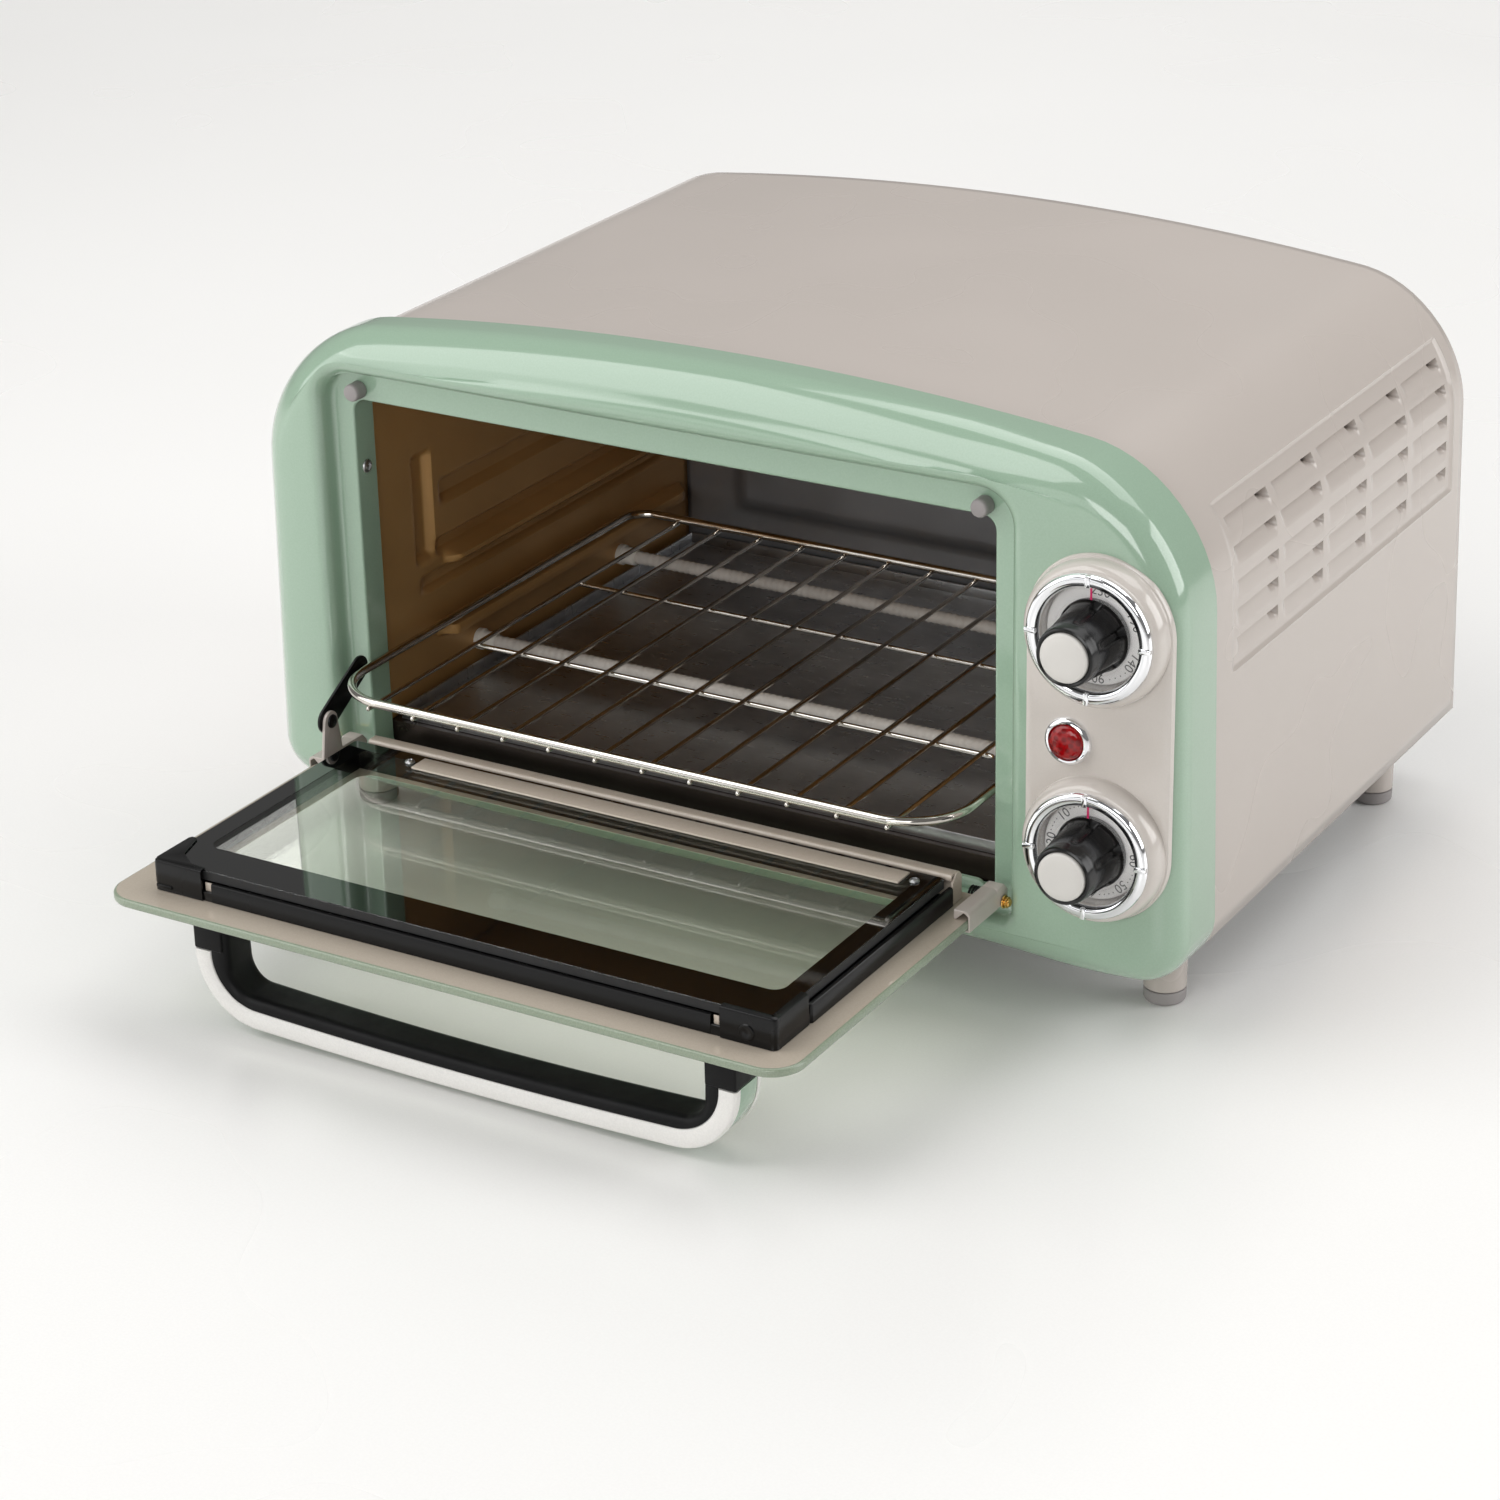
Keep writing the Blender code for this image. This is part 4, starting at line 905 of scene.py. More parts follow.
def make_cavity():
    """The pressed walls, back and roof, the floor, the crumb tray and the heaters."""
    heights = steps_between(CAVITY_FLOOR_Z, CAVITY_ROOF_Z - GAP, 0.0012) + [CAVITY_ROOF_Z - GAP]
    depths = steps_between(CAVITY_FRONT, 0.075, 0.0012)
    depths += steps_between(0.075, CAVITY_BACK, 0.004) + [CAVITY_BACK]

    def sheet(name, bm, finish, node):
        piece(name, bm, finish, "casing", node, thick=CAVITY_SHEET)

    for side, name in ((-1, "left"), (1, "right")):
        x = OPEN_X + side * CAVITY_HALF
        inward = Vector((-side, 0.0, 0.0))
        grid = [[(Vector((x, y, z)), inward, y, z) for y in depths] for z in heights]
        body = relief_sheet(grid, wall_relief)
        inner, outer = sorted((x, x + side * 0.010))
        flange = block((inner, CAVITY_FRONT - 0.0004, CAVITY_FLOOR_Z),
                       (outer, CAVITY_FRONT + 0.0006, CAVITY_ROOF_Z), 0.0002, 1)
        sheet(f"cavity_wall_{name}", merged([body, flange]), CAVITY, f"cavity_{name}_wall")

    pitch = 0.003
    left, right = OPEN_X - CAVITY_HALF, OPEN_X + CAVITY_HALF
    across = steps_between(left, right, pitch) + [right]
    up = steps_between(CAVITY_FLOOR_Z, CAVITY_ROOF_Z, pitch) + [CAVITY_ROOF_Z]
    along = steps_between(CAVITY_FRONT, CAVITY_BACK, pitch) + [CAVITY_BACK]
    back = CAVITY_BACK + GAP
    middle_z = (CAVITY_FLOOR_Z + CAVITY_ROOF_Z) / 2

    def back_relief(x, z):
        panel = groove(x, OPEN_X, 0.128, 0.008) * groove(z, middle_z, 0.058, 0.008)
        dimples = 0.0
        for dx in (-0.095, 0.0, 0.095):
            gap = math.hypot(x - OPEN_X - dx, z - middle_z - 0.030)
            dimples = max(dimples, 1.0 - smooth_step(gap, 0.003, 0.008))
        return 0.0050 * panel - 0.0030 * dimples

    def roof_relief(x, y):
        return -0.0025 * groove(x, OPEN_X, 0.120, 0.010) * groove(y, 0.145, 0.100, 0.010)

    grid = [[(Vector((x, back, z)), Vector((0.0, -1.0, 0.0)), x, z) for x in across] for z in up]
    sheet("cavity_back_pressing", relief_sheet(grid, back_relief), BACK_STEEL, "cavity_back")
    grid = [[(Vector((x, y, CAVITY_ROOF_Z)), Vector((0.0, 0.0, -1.0)), x, y) for x in across] for y in along]
    sheet("cavity_roof_pressing", relief_sheet(grid, roof_relief), CAVITY, "cavity_roof")
    dress(CAVITY_FLOOR, "cavity_floor")
    make_crumb_tray()
    for row in ("lower", "upper"):
        for depth in ("front", "rear"):
            make_heater(f"{row}_{depth}")


def make_crumb_tray():
    """A sheet with a low wall round it, and a finger lip in front."""
    low, high = corners("crumb_tray")
    wall = 0.0014
    plan = [(low.x, low.y), (high.x, low.y), (high.x, high.y), (low.x, high.y)]
    parts = [prism(plan, 2, low.z, low.z + 0.0008)]
    for a, b in (((low.x, low.y), (high.x, low.y + wall)), ((low.x, high.y - wall), (high.x, high.y)),
                 ((low.x, low.y), (low.x + wall, high.y)), ((high.x - wall, low.y), (high.x, high.y))):
        parts.append(block((*a, low.z), (*b, high.z), 0.0005))
    lip = [(OPEN_X - 0.05, low.y - 0.0018), (OPEN_X + 0.05, low.y - 0.0018)]
    lip += [(OPEN_X + 0.046, low.y + 0.001), (OPEN_X - 0.046, low.y + 0.001)]
    parts.append(prism(lip, 2, high.z - 0.0012, high.z, 0.0003))
    piece("crumb_tray_pressing", merged(parts), ZINC, "casing", "crumb_tray")


def make_heater(which):
    """A quartz tube with the turns of its wire showing as rings, and a ceramic cap at each end."""
    node = f"heater_{which}"
    centre = middle(node)
    low, high = span(node, 0)
    radius, margin, steps = 0.0031, 0.020, 360  # four steps for each turn of the wire
    profile = [(0.0, low + margin), (radius, low + margin)]
    for i in range(steps):
        along = low + margin + (high - low - 2 * margin) * i / steps
        profile.append((radius + 0.00018 * math.sin(QUARTER * i), along))
    profile += [(radius, high - margin), (0.0, high - margin)]
    place = (0.0, centre.y, centre.z)
    piece(f"quartz_tube_{which}", turned(profile, "x", place, 16), QUARTZ, "casing", node)
    caps = []
    for end, way in ((low, 1), (high, -1)):
        cap = [(0.0, 0.0), (0.0034, 0.0), (0.0034, 0.012), (0.0050, 0.0122), (0.0050, 0.0150)]
        cap += [(0.0042, 0.0155), (0.0042, 0.0215), (0.0032, 0.0222), (0.0, 0.0222)]
        caps.append(turned([(r, end + way * a) for r, a in cap], "x", place, 24))
    piece(f"heater_caps_{which}", merged(caps), CERAMIC, "casing")


RACK_Z = 0.0915
RACK_WIRE = 0.0020
GRID_WIRE = 0.0011
GRID_PITCH = 0.023
GRID_COUNT = 12


def make_rack():
    """A thick wire bent into a loop, thin wires welded under it, and a cross wire at each third."""
    front, back = span("wire_rack", 1)
    front, back = front + RACK_WIRE, back - RACK_WIRE
    half = span("wire_rack", 0)[1] - OPEN_X - RACK_WIRE
    left, right = OPEN_X - half, OPEN_X + half
    wide, tight = 0.028, 0.012  # corner radii in front and behind
    loop = arc((left + wide, front + wide), wide, 180, 270, 20)
    loop += arc((right - wide, front + wide), wide, 270, 360, 20)
    loop += arc((right - tight, back - tight), tight, 0, 90, 12)
    loop += arc((left + tight, back - tight), tight, 90, 180, 12)
    parts = [wire(level(loop, RACK_Z), RACK_WIRE, cyclic=True, resolution=6)]
    low = RACK_Z - RACK_WIRE - GRID_WIRE + 0.0005
    for i in range(GRID_COUNT):
        x = OPEN_X + GRID_PITCH * (i - (GRID_COUNT - 1) / 2)
        parts.append(wire([(x, front - 0.0010, low), (x, back + 0.0006, low)], GRID_WIRE))
    cross = low - 2 * GRID_WIRE + 0.0004
    for i in (1, 2):
        y = front + (back - front) * i / 3
        parts.append(wire([(left + 0.020, y, cross), (right - 0.020, y, cross)], GRID_WIRE))
    piece("rack_wires", merged(parts), RACK_CHROME, "rack", "wire_rack", welded=False)


def make_seat_fittings():
    """The rubber bumpers on the door's ledge, and the screws in the jambs of the opening."""
    bumper = [(0.0, 0.0001), (0.0040, 0.0001), (0.0038, 0.0030), (0.0039, 0.0058), (0.0034, 0.0070)]
    bumper += [(0.0, 0.0072)]
    for side, name in ((-1, "left"), (1, "right")):
        node = f"door_bumper_{name}"
        centre = middle(node)
        centre.y = 0.0
        body = turned(fillet(bumper, 0.0009), "y", centre, 48)
        piece(f"rubber_bumper_{name}", body, RUBBER, "casing", node)
        node = f"bezel_screw_{name}"
        centre = middle(node)
        centre.x = OPEN_X + side * OPEN_HALF
        piece(f"jamb_screw_{name}", phillips(centre, "x", -side), ZINC, "casing", node)


# ---------------------------------------------------------------- door

def across(centre, half):
    """Both sides of something, from its middle and half its width."""
    return centre - half, centre + half


def plate_outline(sides, front, back, corner, heel=0.0015, steps=14):
    """A plate seen from above as (x, y) points: wide rounded corners in front, small ones behind."""
    left, right = sides
    run = arc((left + corner, front + corner), corner, 180, 270, steps)
    run += arc((right - corner, front + corner), corner, 270, 360, steps)
    run += arc((right - heel, back - heel), heel, 0, 90, steps)
    return run + arc((left + heel, back - heel), heel, 90, 180, steps)


def drawn_in(sides, inset):
    """Both sides, each moved inwards."""
    return sides[0] + inset, sides[1] - inset


def plate_run(sides, front, back, inset, *corners):
    """A plate's outline drawn in on all sides. Its corner radii are given as they are after that."""
    return plate_outline(drawn_in(sides, inset), front + inset, back - inset, *corners)


def make_door_glass():
    """The outer pane with ground edges, and the colour printed round it: greige inside, mint outside."""

    def run(inset):
        return plate_run(GLASS_SIDES, GLASS_FRONT, GLASS_BACK, inset, 0.014 - inset)

    edge, ledge = 0.0009, 0.0015
    shape = [(edge, GLASS_LOW), (edge * 0.3, GLASS_LOW + edge * 0.3), (0.0, GLASS_LOW + edge)]
    shape += [(0.0, GLASS_TOP - edge), (edge * 0.3, GLASS_TOP - edge * 0.3), (edge, GLASS_TOP)]
    shape += [(ledge, GLASS_TOP), (ledge, GLASS_LOW)]
    ground = loft([level(run(inset), z) for inset, z in shape], ring=True)
    piece("ground_edge", ground, GLASS_EDGE, "door", angle=60)
    pane = loft([level(run(ledge + 0.0001), z) for z in (GLASS_LOW, GLASS_TOP)])
    piece("outer_pane", pane, GLASS, "door", "door_outer_glass", angle=60)
    outer = plate_outline(drawn_in(GLASS_SIDES, 0.0012), GLASS_FRONT + 0.0012, GLASS_BACK - 0.0008, 0.0128)
    inner = plate_outline(across(DOOR_X, 0.1355), FRAME_FRONT + 0.0165, FRAME_BACK - 0.0100, 0.010, 0.008)
    low, high = GLASS_TOP + 0.00004, GLASS_TOP + 0.00022
    half = (low + high) / 2
    piece("print_inside", plate_ring(outer, inner, half, high), PRINT, "door")
    piece("print_outside", plate_ring(outer, inner, low, half), MINT, "door")


def make_inner_pane():
    """The inner pane, the seal on its edge, and the black border, which is wider in front and on the left."""

    def run(inset, *corners):
        return plate_run(PANE_SIDES, PANE_FRONT, PANE_BACK, inset, *corners)

    top = PANE_TOP
    pane = prism(run(0.0, 0.0016, 0.0016, 4), 2, PANE_LOW, top, 0.0003, 1)
    piece("inner_pane", pane, GLASS, "door", "door_inner_glass")
    window = (PANE_SIDES[0] + 0.0095, PANE_SIDES[1] - 0.0085)
    inner = plate_outline(window, PANE_FRONT + 0.0190, PANE_BACK - 0.0070, 0.0055, 0.0030, 10)
    border = plate_ring(run(0.0002, 0.0015, 0.0015, 10), inner, top + 0.00003, top + 0.00012)
    piece("inner_print", border, BLACK_GLASS, "door")
    outer, inner = run(-0.0002, 0.0018, 0.0018, 10), run(0.0006, 0.0012, 0.0012, 10)
    seal = plate_ring(outer, inner, PANE_LOW - 0.0001, top - 0.0002)
    piece("pane_seal", seal, EDGE_GREY, "door", bevel=0.0002)


def folded(path, section):
    """A strip of sheet along a path of (x, y, outward x, outward y), with one (outward, z) section."""
    return loft([[(x + ox * out, y + oy * out, z) for out, z in section] for x, y, ox, oy in path])


def corner_path(side):
    """The outer face of a front corner bracket: along the front, round the corner and back along the side."""
    radius = 0.0026
    x_out, y_out = DOOR_X + side * (FRAME_HALF + 0.0003), FRAME_FRONT - 0.0007
    path = [(x_out - side * BRACKET_LONG, y_out, 0.0, -1.0)]
    for turn in turns(QUARTER, 8):
        ox, oy = side * math.sin(turn), -math.cos(turn)
        path.append((x_out + (ox - side) * radius, y_out + (oy + 1) * radius, ox, oy))
    return path + [(x_out, y_out + BRACKET_LONG, float(side), 0.0)]


def make_inner_frame():
    """The black channel round the inner pane, and a pressed bracket over each of its front corners."""
    low = GLASS_TOP + GAP
    sides = across(DOOR_X, FRAME_HALF)

    def ring(inset, corner):
        return plate_run(sides, FRAME_FRONT, FRAME_BACK, inset, corner, corner, 6)

    notch, seat_z = LIP_TOP - 0.0040, PANE_LOW - GAP
    shape = [(0.0003, low), (0.0, low + 0.0006), (0.0, notch - 0.0003), (0.0004, notch), (0.0010, notch)]
    shape += [(0.0012, notch - 0.0003), (0.0012, low + 0.0014), (0.0058, low + 0.0012), (0.0060, seat_z)]
    shape += [(0.0066, seat_z), (0.0068, low)]
    parts = [loft([level(ring(i, max(0.0035 - i, 0.0006)), z) for i, z in shape], ring=True)]
    lip = [(0.0001, low + 0.0002), (0.0001, LIP_TOP - 0.0009), (-0.0003, LIP_TOP - 0.0002)]
    lip += [(-0.0009, LIP_TOP), (-0.0018, LIP_TOP - 0.0001), (-0.0018, LIP_TOP - 0.0008)]
    lip += [(-0.0010, LIP_TOP - 0.0010), (-0.0008, low + 0.0002)]
    x0, x1 = drawn_in(sides, BRACKET_LONG + 0.0042)
    parts.append(folded([(x0, FRAME_FRONT, 0.0, -1.0), (x1, FRAME_FRONT, 0.0, -1.0)], lip))
    top = FRAME_TOP + 0.0005
    wall = [(0.0, low + 0.0002), (-0.0002, low + 0.0026), (0.0, low + 0.0034), (0.0, top - 0.0014)]
    wall += [(-0.0003, top - 0.0005), (-0.0012, top), (-0.0034, top), (-0.0034, top - 0.0004)]
    wall += [(-0.0014, top - 0.0008), (-0.0010, top - 0.0016), (-0.0010, low + 0.0002)]
    for side in (-1, 1):
        x, bracket_end = DOOR_X + side * (FRAME_HALF + 0.0007), FRAME_FRONT + BRACKET_LONG
        run = [(x - side * 0.0008, bracket_end + 0.0004), (x, bracket_end + 0.0014), (x, FRAME_BACK)]
        parts.append(folded([(*point, side, 0.0) for point in run], lip))
        parts.append(folded(corner_path(side), wall))
    parts += corner_details(sides, low)
    piece("inner_frame", merged(parts), BLACK_STEEL, "door", "door_inner_frame")
    tabs = []
    y, z = (FRAME_FRONT + 0.0011, FRAME_FRONT + 0.0016), (notch - 0.0004, LIP_TOP - 0.0004)
    for x, wide in ((sides[0] + BRACKET_LONG + 0.0004, 0.0046), (sides[1] - BRACKET_LONG - 0.0034, 0.0024)):
        tabs.append(block((x, y[0], z[0]), (x + wide, y[1], z[1]), 0.0002))
    piece("frame_tabs", merged(tabs), RAIL_PAINT, "door")


def corner_details(sides, low):
    """The left bracket's folded lid and the tongue in front of it, and the right bracket's pressed dish."""
    x, y = sides[0] - 0.0003, FRAME_FRONT - 0.0007
    end = BRACKET_LONG
    lid = [(0.0026, 0.0004), (end - 0.0004, 0.0008), (end - 0.0004, 0.0036), (0.0170, 0.0042)]
    lid += [(0.0085, 0.0105), (0.0046, end - 0.0008), (0.0006, end - 0.0008), (0.0004, 0.0026)]
    parts = [prism([(x + a, y + b) for a, b in lid], 2, FRAME_TOP - 0.0001, FRAME_TOP + 0.0006, 0.0003)]
    tongue = (x + 0.0014, y - 0.0004, low + 0.0014), (x + 0.0092, y + 0.0004, low + 0.0030)
    parts.append(block(*tongue, 0.0004))
    dish = [(0.0, 0.0003), (0.0012, 0.0004), (0.0024, 0.0009), (0.0032, 0.0008), (0.0038, 0.0)]
    parts.append(turned([(r, a - 0.0003) for r, a in dish], "y", (sides[1] - 0.0125, y, low + 0.0052), 32))
    return parts


def make_rail():
    """The painted rail behind the inner pane: a folded sheet, open on the left, closed on the right."""
    low, top, front, back = GLASS_TOP + GAP, RAIL_TOP, RAIL_FRONT, RAIL_BACK
    roll, sheet = 0.0016, 0.0009
    left, right = RAIL_SIDES[0] + 0.0070, RAIL_SIDES[1] - sheet

    def curl(radius, angles):
        turned_to = [math.radians(angle) for angle in angles]
        return [(front + roll - radius * math.cos(t), top - roll + radius * math.sin(t)) for t in turned_to]

    section = [(front + roll + 0.0006, top - 2 * roll)] + curl(roll, range(-60, 91, 15))
    section += [(back - 0.0022, top), (back - 0.0008, top - 0.0006), (back, top - 0.0018), (back, low)]
    section += [(back - sheet, low), (back - sheet, top - 0.0020), (back - 0.0024, top - sheet)]
    section += [(front + roll, top - sheet)] + curl(roll * 0.44, range(75, -61, -15))
    parts = [prism(section, 0, left, right)]
    web = (left + 0.0010, front + 0.0022, low), (right, front + 0.0031, top - 0.0022)
    parts.append(block(*web, 0.0002, 1))
    flap = [(front, low), (front, top - 0.0034), (front + 0.0034, top), (back - 0.0020, top)]
    flap += [(back, top - 0.0020), (back, low)]
    parts.append(prism(flap, 0, right, RAIL_SIDES[1], 0.0002, 1))
    piece("hinge_rail", merged(parts), RAIL_PAINT, "door", "door_bottom_rail")
    back, low = PANE_BACK - 0.0012, PANE_TOP + 0.0002
    strip = block((-0.1180, back - 0.0125, low), (0.1180, back - 0.0022, low + 0.0010), 0.0003)
    piece("hinge_strip", strip, RAIL_PAINT, "door")
    screws = [phillips((x, back - 0.0070, low), "z", 1, 0.0022) for x in (-0.1225, 0.1225)]
    piece("strip_screws", merged(screws), ZINC, "door")


def make_hinges():
    """A folded clip round each side of the pane at the hinge, a brass pin in it, and the spring."""
    for side, name in ((-1, "left"), (1, "right")):
        low, high = corners(f"hinge_cap_{name}")
        inn, out = (low.x, high.x) if side > 0 else (high.x, low.x)
        sheet, wrap, reach = 0.0008, 0.0010, 0.0022
        top, under = high.z, GLASS_LOW - wrap
        section = [(inn, GLASS_TOP + GAP), (inn, top)]
        section += [(out - side * reach * (1 - math.sin(t)), top - reach * (1 - math.cos(t)))
                    for t in turns(QUARTER, 6)]
        section += [(out, under), (out - side * 0.0026, under), (out - side * 0.0026, under + sheet)]
        section += [(out - side * sheet, under + sheet), (out - side * sheet, top - reach)]
        section += [(out - side * (reach + 0.0006), top - sheet), (inn + side * 0.0010, GLASS_TOP + GAP)]
        clip = prism(section, 1, low.y, GLASS_BACK + 0.0002, 0.0002, 1)
        knuckle = [(GLASS_BACK, under), (high.y - 0.0010, under), (high.y, under + 0.0010)]
        knuckle += [(high.y, top - 0.0034), (high.y - 0.0032, top), (GLASS_BACK, top)]
        end = prism(knuckle, 0, *sorted((out, inn)), 0.0006)
        piece(f"hinge_clip_{name}", merged([clip, end]), GREIGE, "door", f"hinge_cap_{name}")
        start, face, tail = abs(inn - HINGE.x) + 0.0006, abs(out - HINGE.x), SEAT_HALF + 0.0022
        pin = [(0.0, start), (0.0018, start), (0.0018, face + 0.0001), (0.0027, face + 0.0002)]
        pin += [(0.0029, face + 0.0005), (0.0027, face + 0.0009), (0.0018, face + 0.0010)]
        pin += [(0.0018, face + 0.0016), (0.0024, face + 0.0018), (0.0024, face + 0.0022)]
        pin += [(0.0018, face + 0.0023), (0.0018, tail - 0.0004), (0.0014, tail), (0.0, tail)]
        body = turned([(r, side * a) for r, a in pin], "x", HINGE, 32)
        piece(f"brass_pin_{name}", body, BRASS, "door", f"hinge_pin_{name}")
    coils, steps, radius, pitch = 5.5, 28, 0.0034, 0.00125
    start = span("hinge_spring", 0)[0] + 0.0005
    points = [(start - 0.0002, HINGE.y + radius, HINGE.z - 0.0030)]
    for i in range(int(coils * steps) + 1):
        angle = 2 * math.pi * i / steps
        y, z = HINGE.y + radius * math.cos(angle), HINGE.z + radius * math.sin(angle)
        points.append((start + pitch * i / steps, y, z))
    spring = wire(points, 0.00052, resolution=3)
    piece("torsion_spring", spring, BLACK_STEEL, "door", "hinge_spring", welded=False)


def make_link():
    """The tab on the door, the arm that draws the rack out, and the rivet between them."""
    low, high = corners("link_tab")
    y, z = (low.y + high.y) / 2, high.z - 0.0045
    tab = [(high.y + 0.0010, low.z), (high.y + 0.0002, low.z + 0.0035)] + arc((y, z), 0.0045, 12, 168, 16)
    tab += [(low.y - 0.0002, low.z + 0.0035), (low.y - 0.0010, low.z)]
    foot = block((high.x - 0.0002, low.y, low.z), (high.x + 0.0060, high.y, low.z + 0.0009), 0.0003)
    body = merged([prism(tab, 0, low.x, high.x, 0.0003, 2), foot])
    piece("door_tab", body, GREIGE, "door", "link_tab")
    low, high = corners("rack_link")
    pivot, end = (low.y + 0.0050, z), (high.y - 0.0042, high.z - 0.0042)
    slope = math.degrees(math.atan2(end[1] - pivot[1], end[0] - pivot[0]))
    arm = arc(pivot, 0.0060, slope + 90, slope + 270, 16) + arc(end, 0.0056, slope - 90, slope + 90, 16)
    plate = prism(arm, 0, low.x, high.x, 0.0003, 2)
    head = [(0.0, low.x - 0.0007), (0.0015, low.x - 0.0006), (0.0021, low.x), (0.0, low.x)]
    parts = [plate, turned(head, "x", (0.0, *end), 24)]
    piece("draw_arm", merged(parts), BLACK_STEEL, "link", "rack_link")
    face = span("link_tab", 0)[1] + GAP
    rivet = [(0.0, low.x + 0.0001), (0.0017, low.x + 0.0001), (0.0017, face), (0.0031, face)]
    rivet += [(0.0029, face + 0.0006), (0.0020, face + 0.0011), (0.0008, face + 0.0012)]
    rivet += [(0.0006, face + 0.0009), (0.0, face + 0.0009)]
    piece("arm_rivet", turned(rivet, "x", (0.0, y, z), 32), BLACK_STEEL, "door", "link_rivet")


# ---------------------------------------------------------------- handle

def bow(inset, half=HANDLE_HALF, drop=HANDLE_DROP, corner=HANDLE_CORNER):
    """The handle's bow, drawn in by inset, as (x, z) points: from the left leg's joint to the right leg's."""
    half, drop, corner = half - inset, drop - inset, corner - inset
    top = GLASS_LOW - GAP
    bar, leg = top - drop, top - LEG_HEIGHT
    run = [(-half, leg)] + arc((-half + corner, bar + corner), corner, 180, 270, 18)
    run += [((-half + corner) * (1 - 2 * i / 40), bar) for i in range(1, 40)]
    run += arc((half - corner, bar + corner), corner, 270, 360, 18) + [(half, leg)]

    def sag(x, z):
        return HANDLE_SAG * (1 - (x / half) ** 2) * smooth_step(leg - z, 0.0, 0.006)

    return [(HANDLE_X + x, z - sag(x, z)) for x, z in run]


def swept(outer, inner, front, back, outer_round, inner_round, steps=5):
    """A bar between two (x, z) runs of one count, whose long edges are rounded."""
    forwards = turns(QUARTER, steps)
    loops = []
    for (ax, az), (bx, bz) in zip(outer, inner):
        a, b = Vector((ax, az)), Vector((bx, bz))
        across = (b - a).normalized()
        loop = []
        for start, towards, near, sign, radius in (
            (a, across, front, 1, outer_round), (a, across, back, -1, outer_round),
            (b, -across, back, -1, inner_round), (b, -across, front, 1, inner_round),
        ):
            backwards = (start is a) == (sign == 1)
            for t in reversed(forwards) if backwards else forwards:
                spot = start + towards * radius * (1 - math.cos(t))
                loop.append((spot.x, near + sign * radius * (1 - math.sin(t)), spot.y))
        loops.append(loop)
    return loft(loops)


def extended(run):
    """The same run with both ends carried straight up to the glass."""
    top = GLASS_LOW - GAP
    return [(run[0][0], top)] + run + [(run[-1][0], top)]


def make_handle():
    """A black grip with plain legs, a bright trim round its bow, and a coloured inlay along the trim."""
    inset = TRIM_DEPTH + 0.0002
    outside = extended(bow(inset))
    inside = extended(bow(0.0, FINGER_HALF, FINGER_DROP, FINGER_CORNER))
    front, back = HANDLE_FRONT, HANDLE_BACK
    parts = [swept(outside, inside, front + 0.0004, back - 0.0004, 0.0003, 0.0042)]
    top = GLASS_LOW - GAP
    for side in (-1, 1):
        x0, x1 = sorted((HANDLE_X + side * HANDLE_HALF, HANDLE_X + side * (FINGER_HALF + 0.0016)))
        parts.append(block((x0, front, top - LEG_HEIGHT + 0.0002), (x1, back, top), 0.0009, 3))
    piece("grip_moulding", merged(parts), BLACK_PLASTIC, "door", "handle_grip")
    trim = [(0.0, front + 0.0035), (0.0, front + 0.0012), (0.0004, front + 0.0003), (0.0012, front)]
    trim += [(TRIM_DEPTH - 0.0006, front), (TRIM_DEPTH, front + 0.0006), (TRIM_DEPTH, back - 0.0006)]
    trim += [(TRIM_DEPTH - 0.0006, back), (0.0012, back), (0.0004, back - 0.0003), (0.0, back - 0.0012)]
    trim += [(0.0, back - 0.0035), (0.0012, back - 0.0036), (0.0012, front + 0.0036)]
    rows = [flat(bow(depth), y) for depth, y in trim]
    piece("trim_band", loft(list(zip(*rows))), SATIN, "door", "handle_trim", angle=50)
    inlay = swept(bow(0.0002), bow(0.0011), front + 0.0038, back - 0.0038, 0.0003, 0.0001, 3)
    piece("inlay_band", inlay, MINT, "door", "handle_inlay")


# ---------------------------------------------------------------- controls

def make_panel():
    """The raised panel: a capsule plate with a rounded rim, and a domed boss under each dial."""
    shape = [(0.0, -0.0086), (0.0, -0.0106), (0.0003, -0.0112), (0.0010, PANEL_FACE), (0.0040, PANEL_FACE)]
    parts = [loft([flat(capsule(PANEL_RADIUS - inset), y) for inset, y in shape])]
    boss = [(0.0, 0.0112), (0.0306, 0.0112), (0.0303, 0.0122)]
    boss += [(0.0268 + 0.0035 * math.cos(t), 0.0130 + 0.0070 * math.sin(t)) for t in turns(QUARTER, 10)]
    boss += [(0.0218, 0.0200), (0.0214, 0.0197), (0.0214, 0.0125), (0.0, 0.0125)]
    parts += [turned(boss, "y", (DIAL_X, 0.0, z), 96) for z in DIAL_Z.values()]
    piece("panel_moulding", merged(parts), PANEL, "casing", "control_panel", welded=False)


def ring_with_clips(centre):
    """The bright dial ring, with a narrow raised clip at each quarter."""
    ring = [(0.0215, 0.0200), (0.0268, 0.0200), (0.0268, 0.0209)]
    ring += [(0.0242 + 0.0024 * math.cos(t), 0.0212 + 0.0015 * math.sin(t)) for t in turns(math.pi, 12)]
    ring += [(0.0215, 0.0206)]
    parts = [turned(ring, "y", centre, 128)]
    for quarter in range(4):
        clip = block((-0.0011, -0.0231, 0.0219), (0.0011, -0.0205, 0.0268), 0.0004)
        bmesh.ops.transform(clip, matrix=Matrix.Rotation(QUARTER * quarter, 4, "Y"), verts=clip.verts)
        bmesh.ops.translate(clip, verts=clip.verts, vec=centre)
        parts.append(clip)
    return merged(parts)


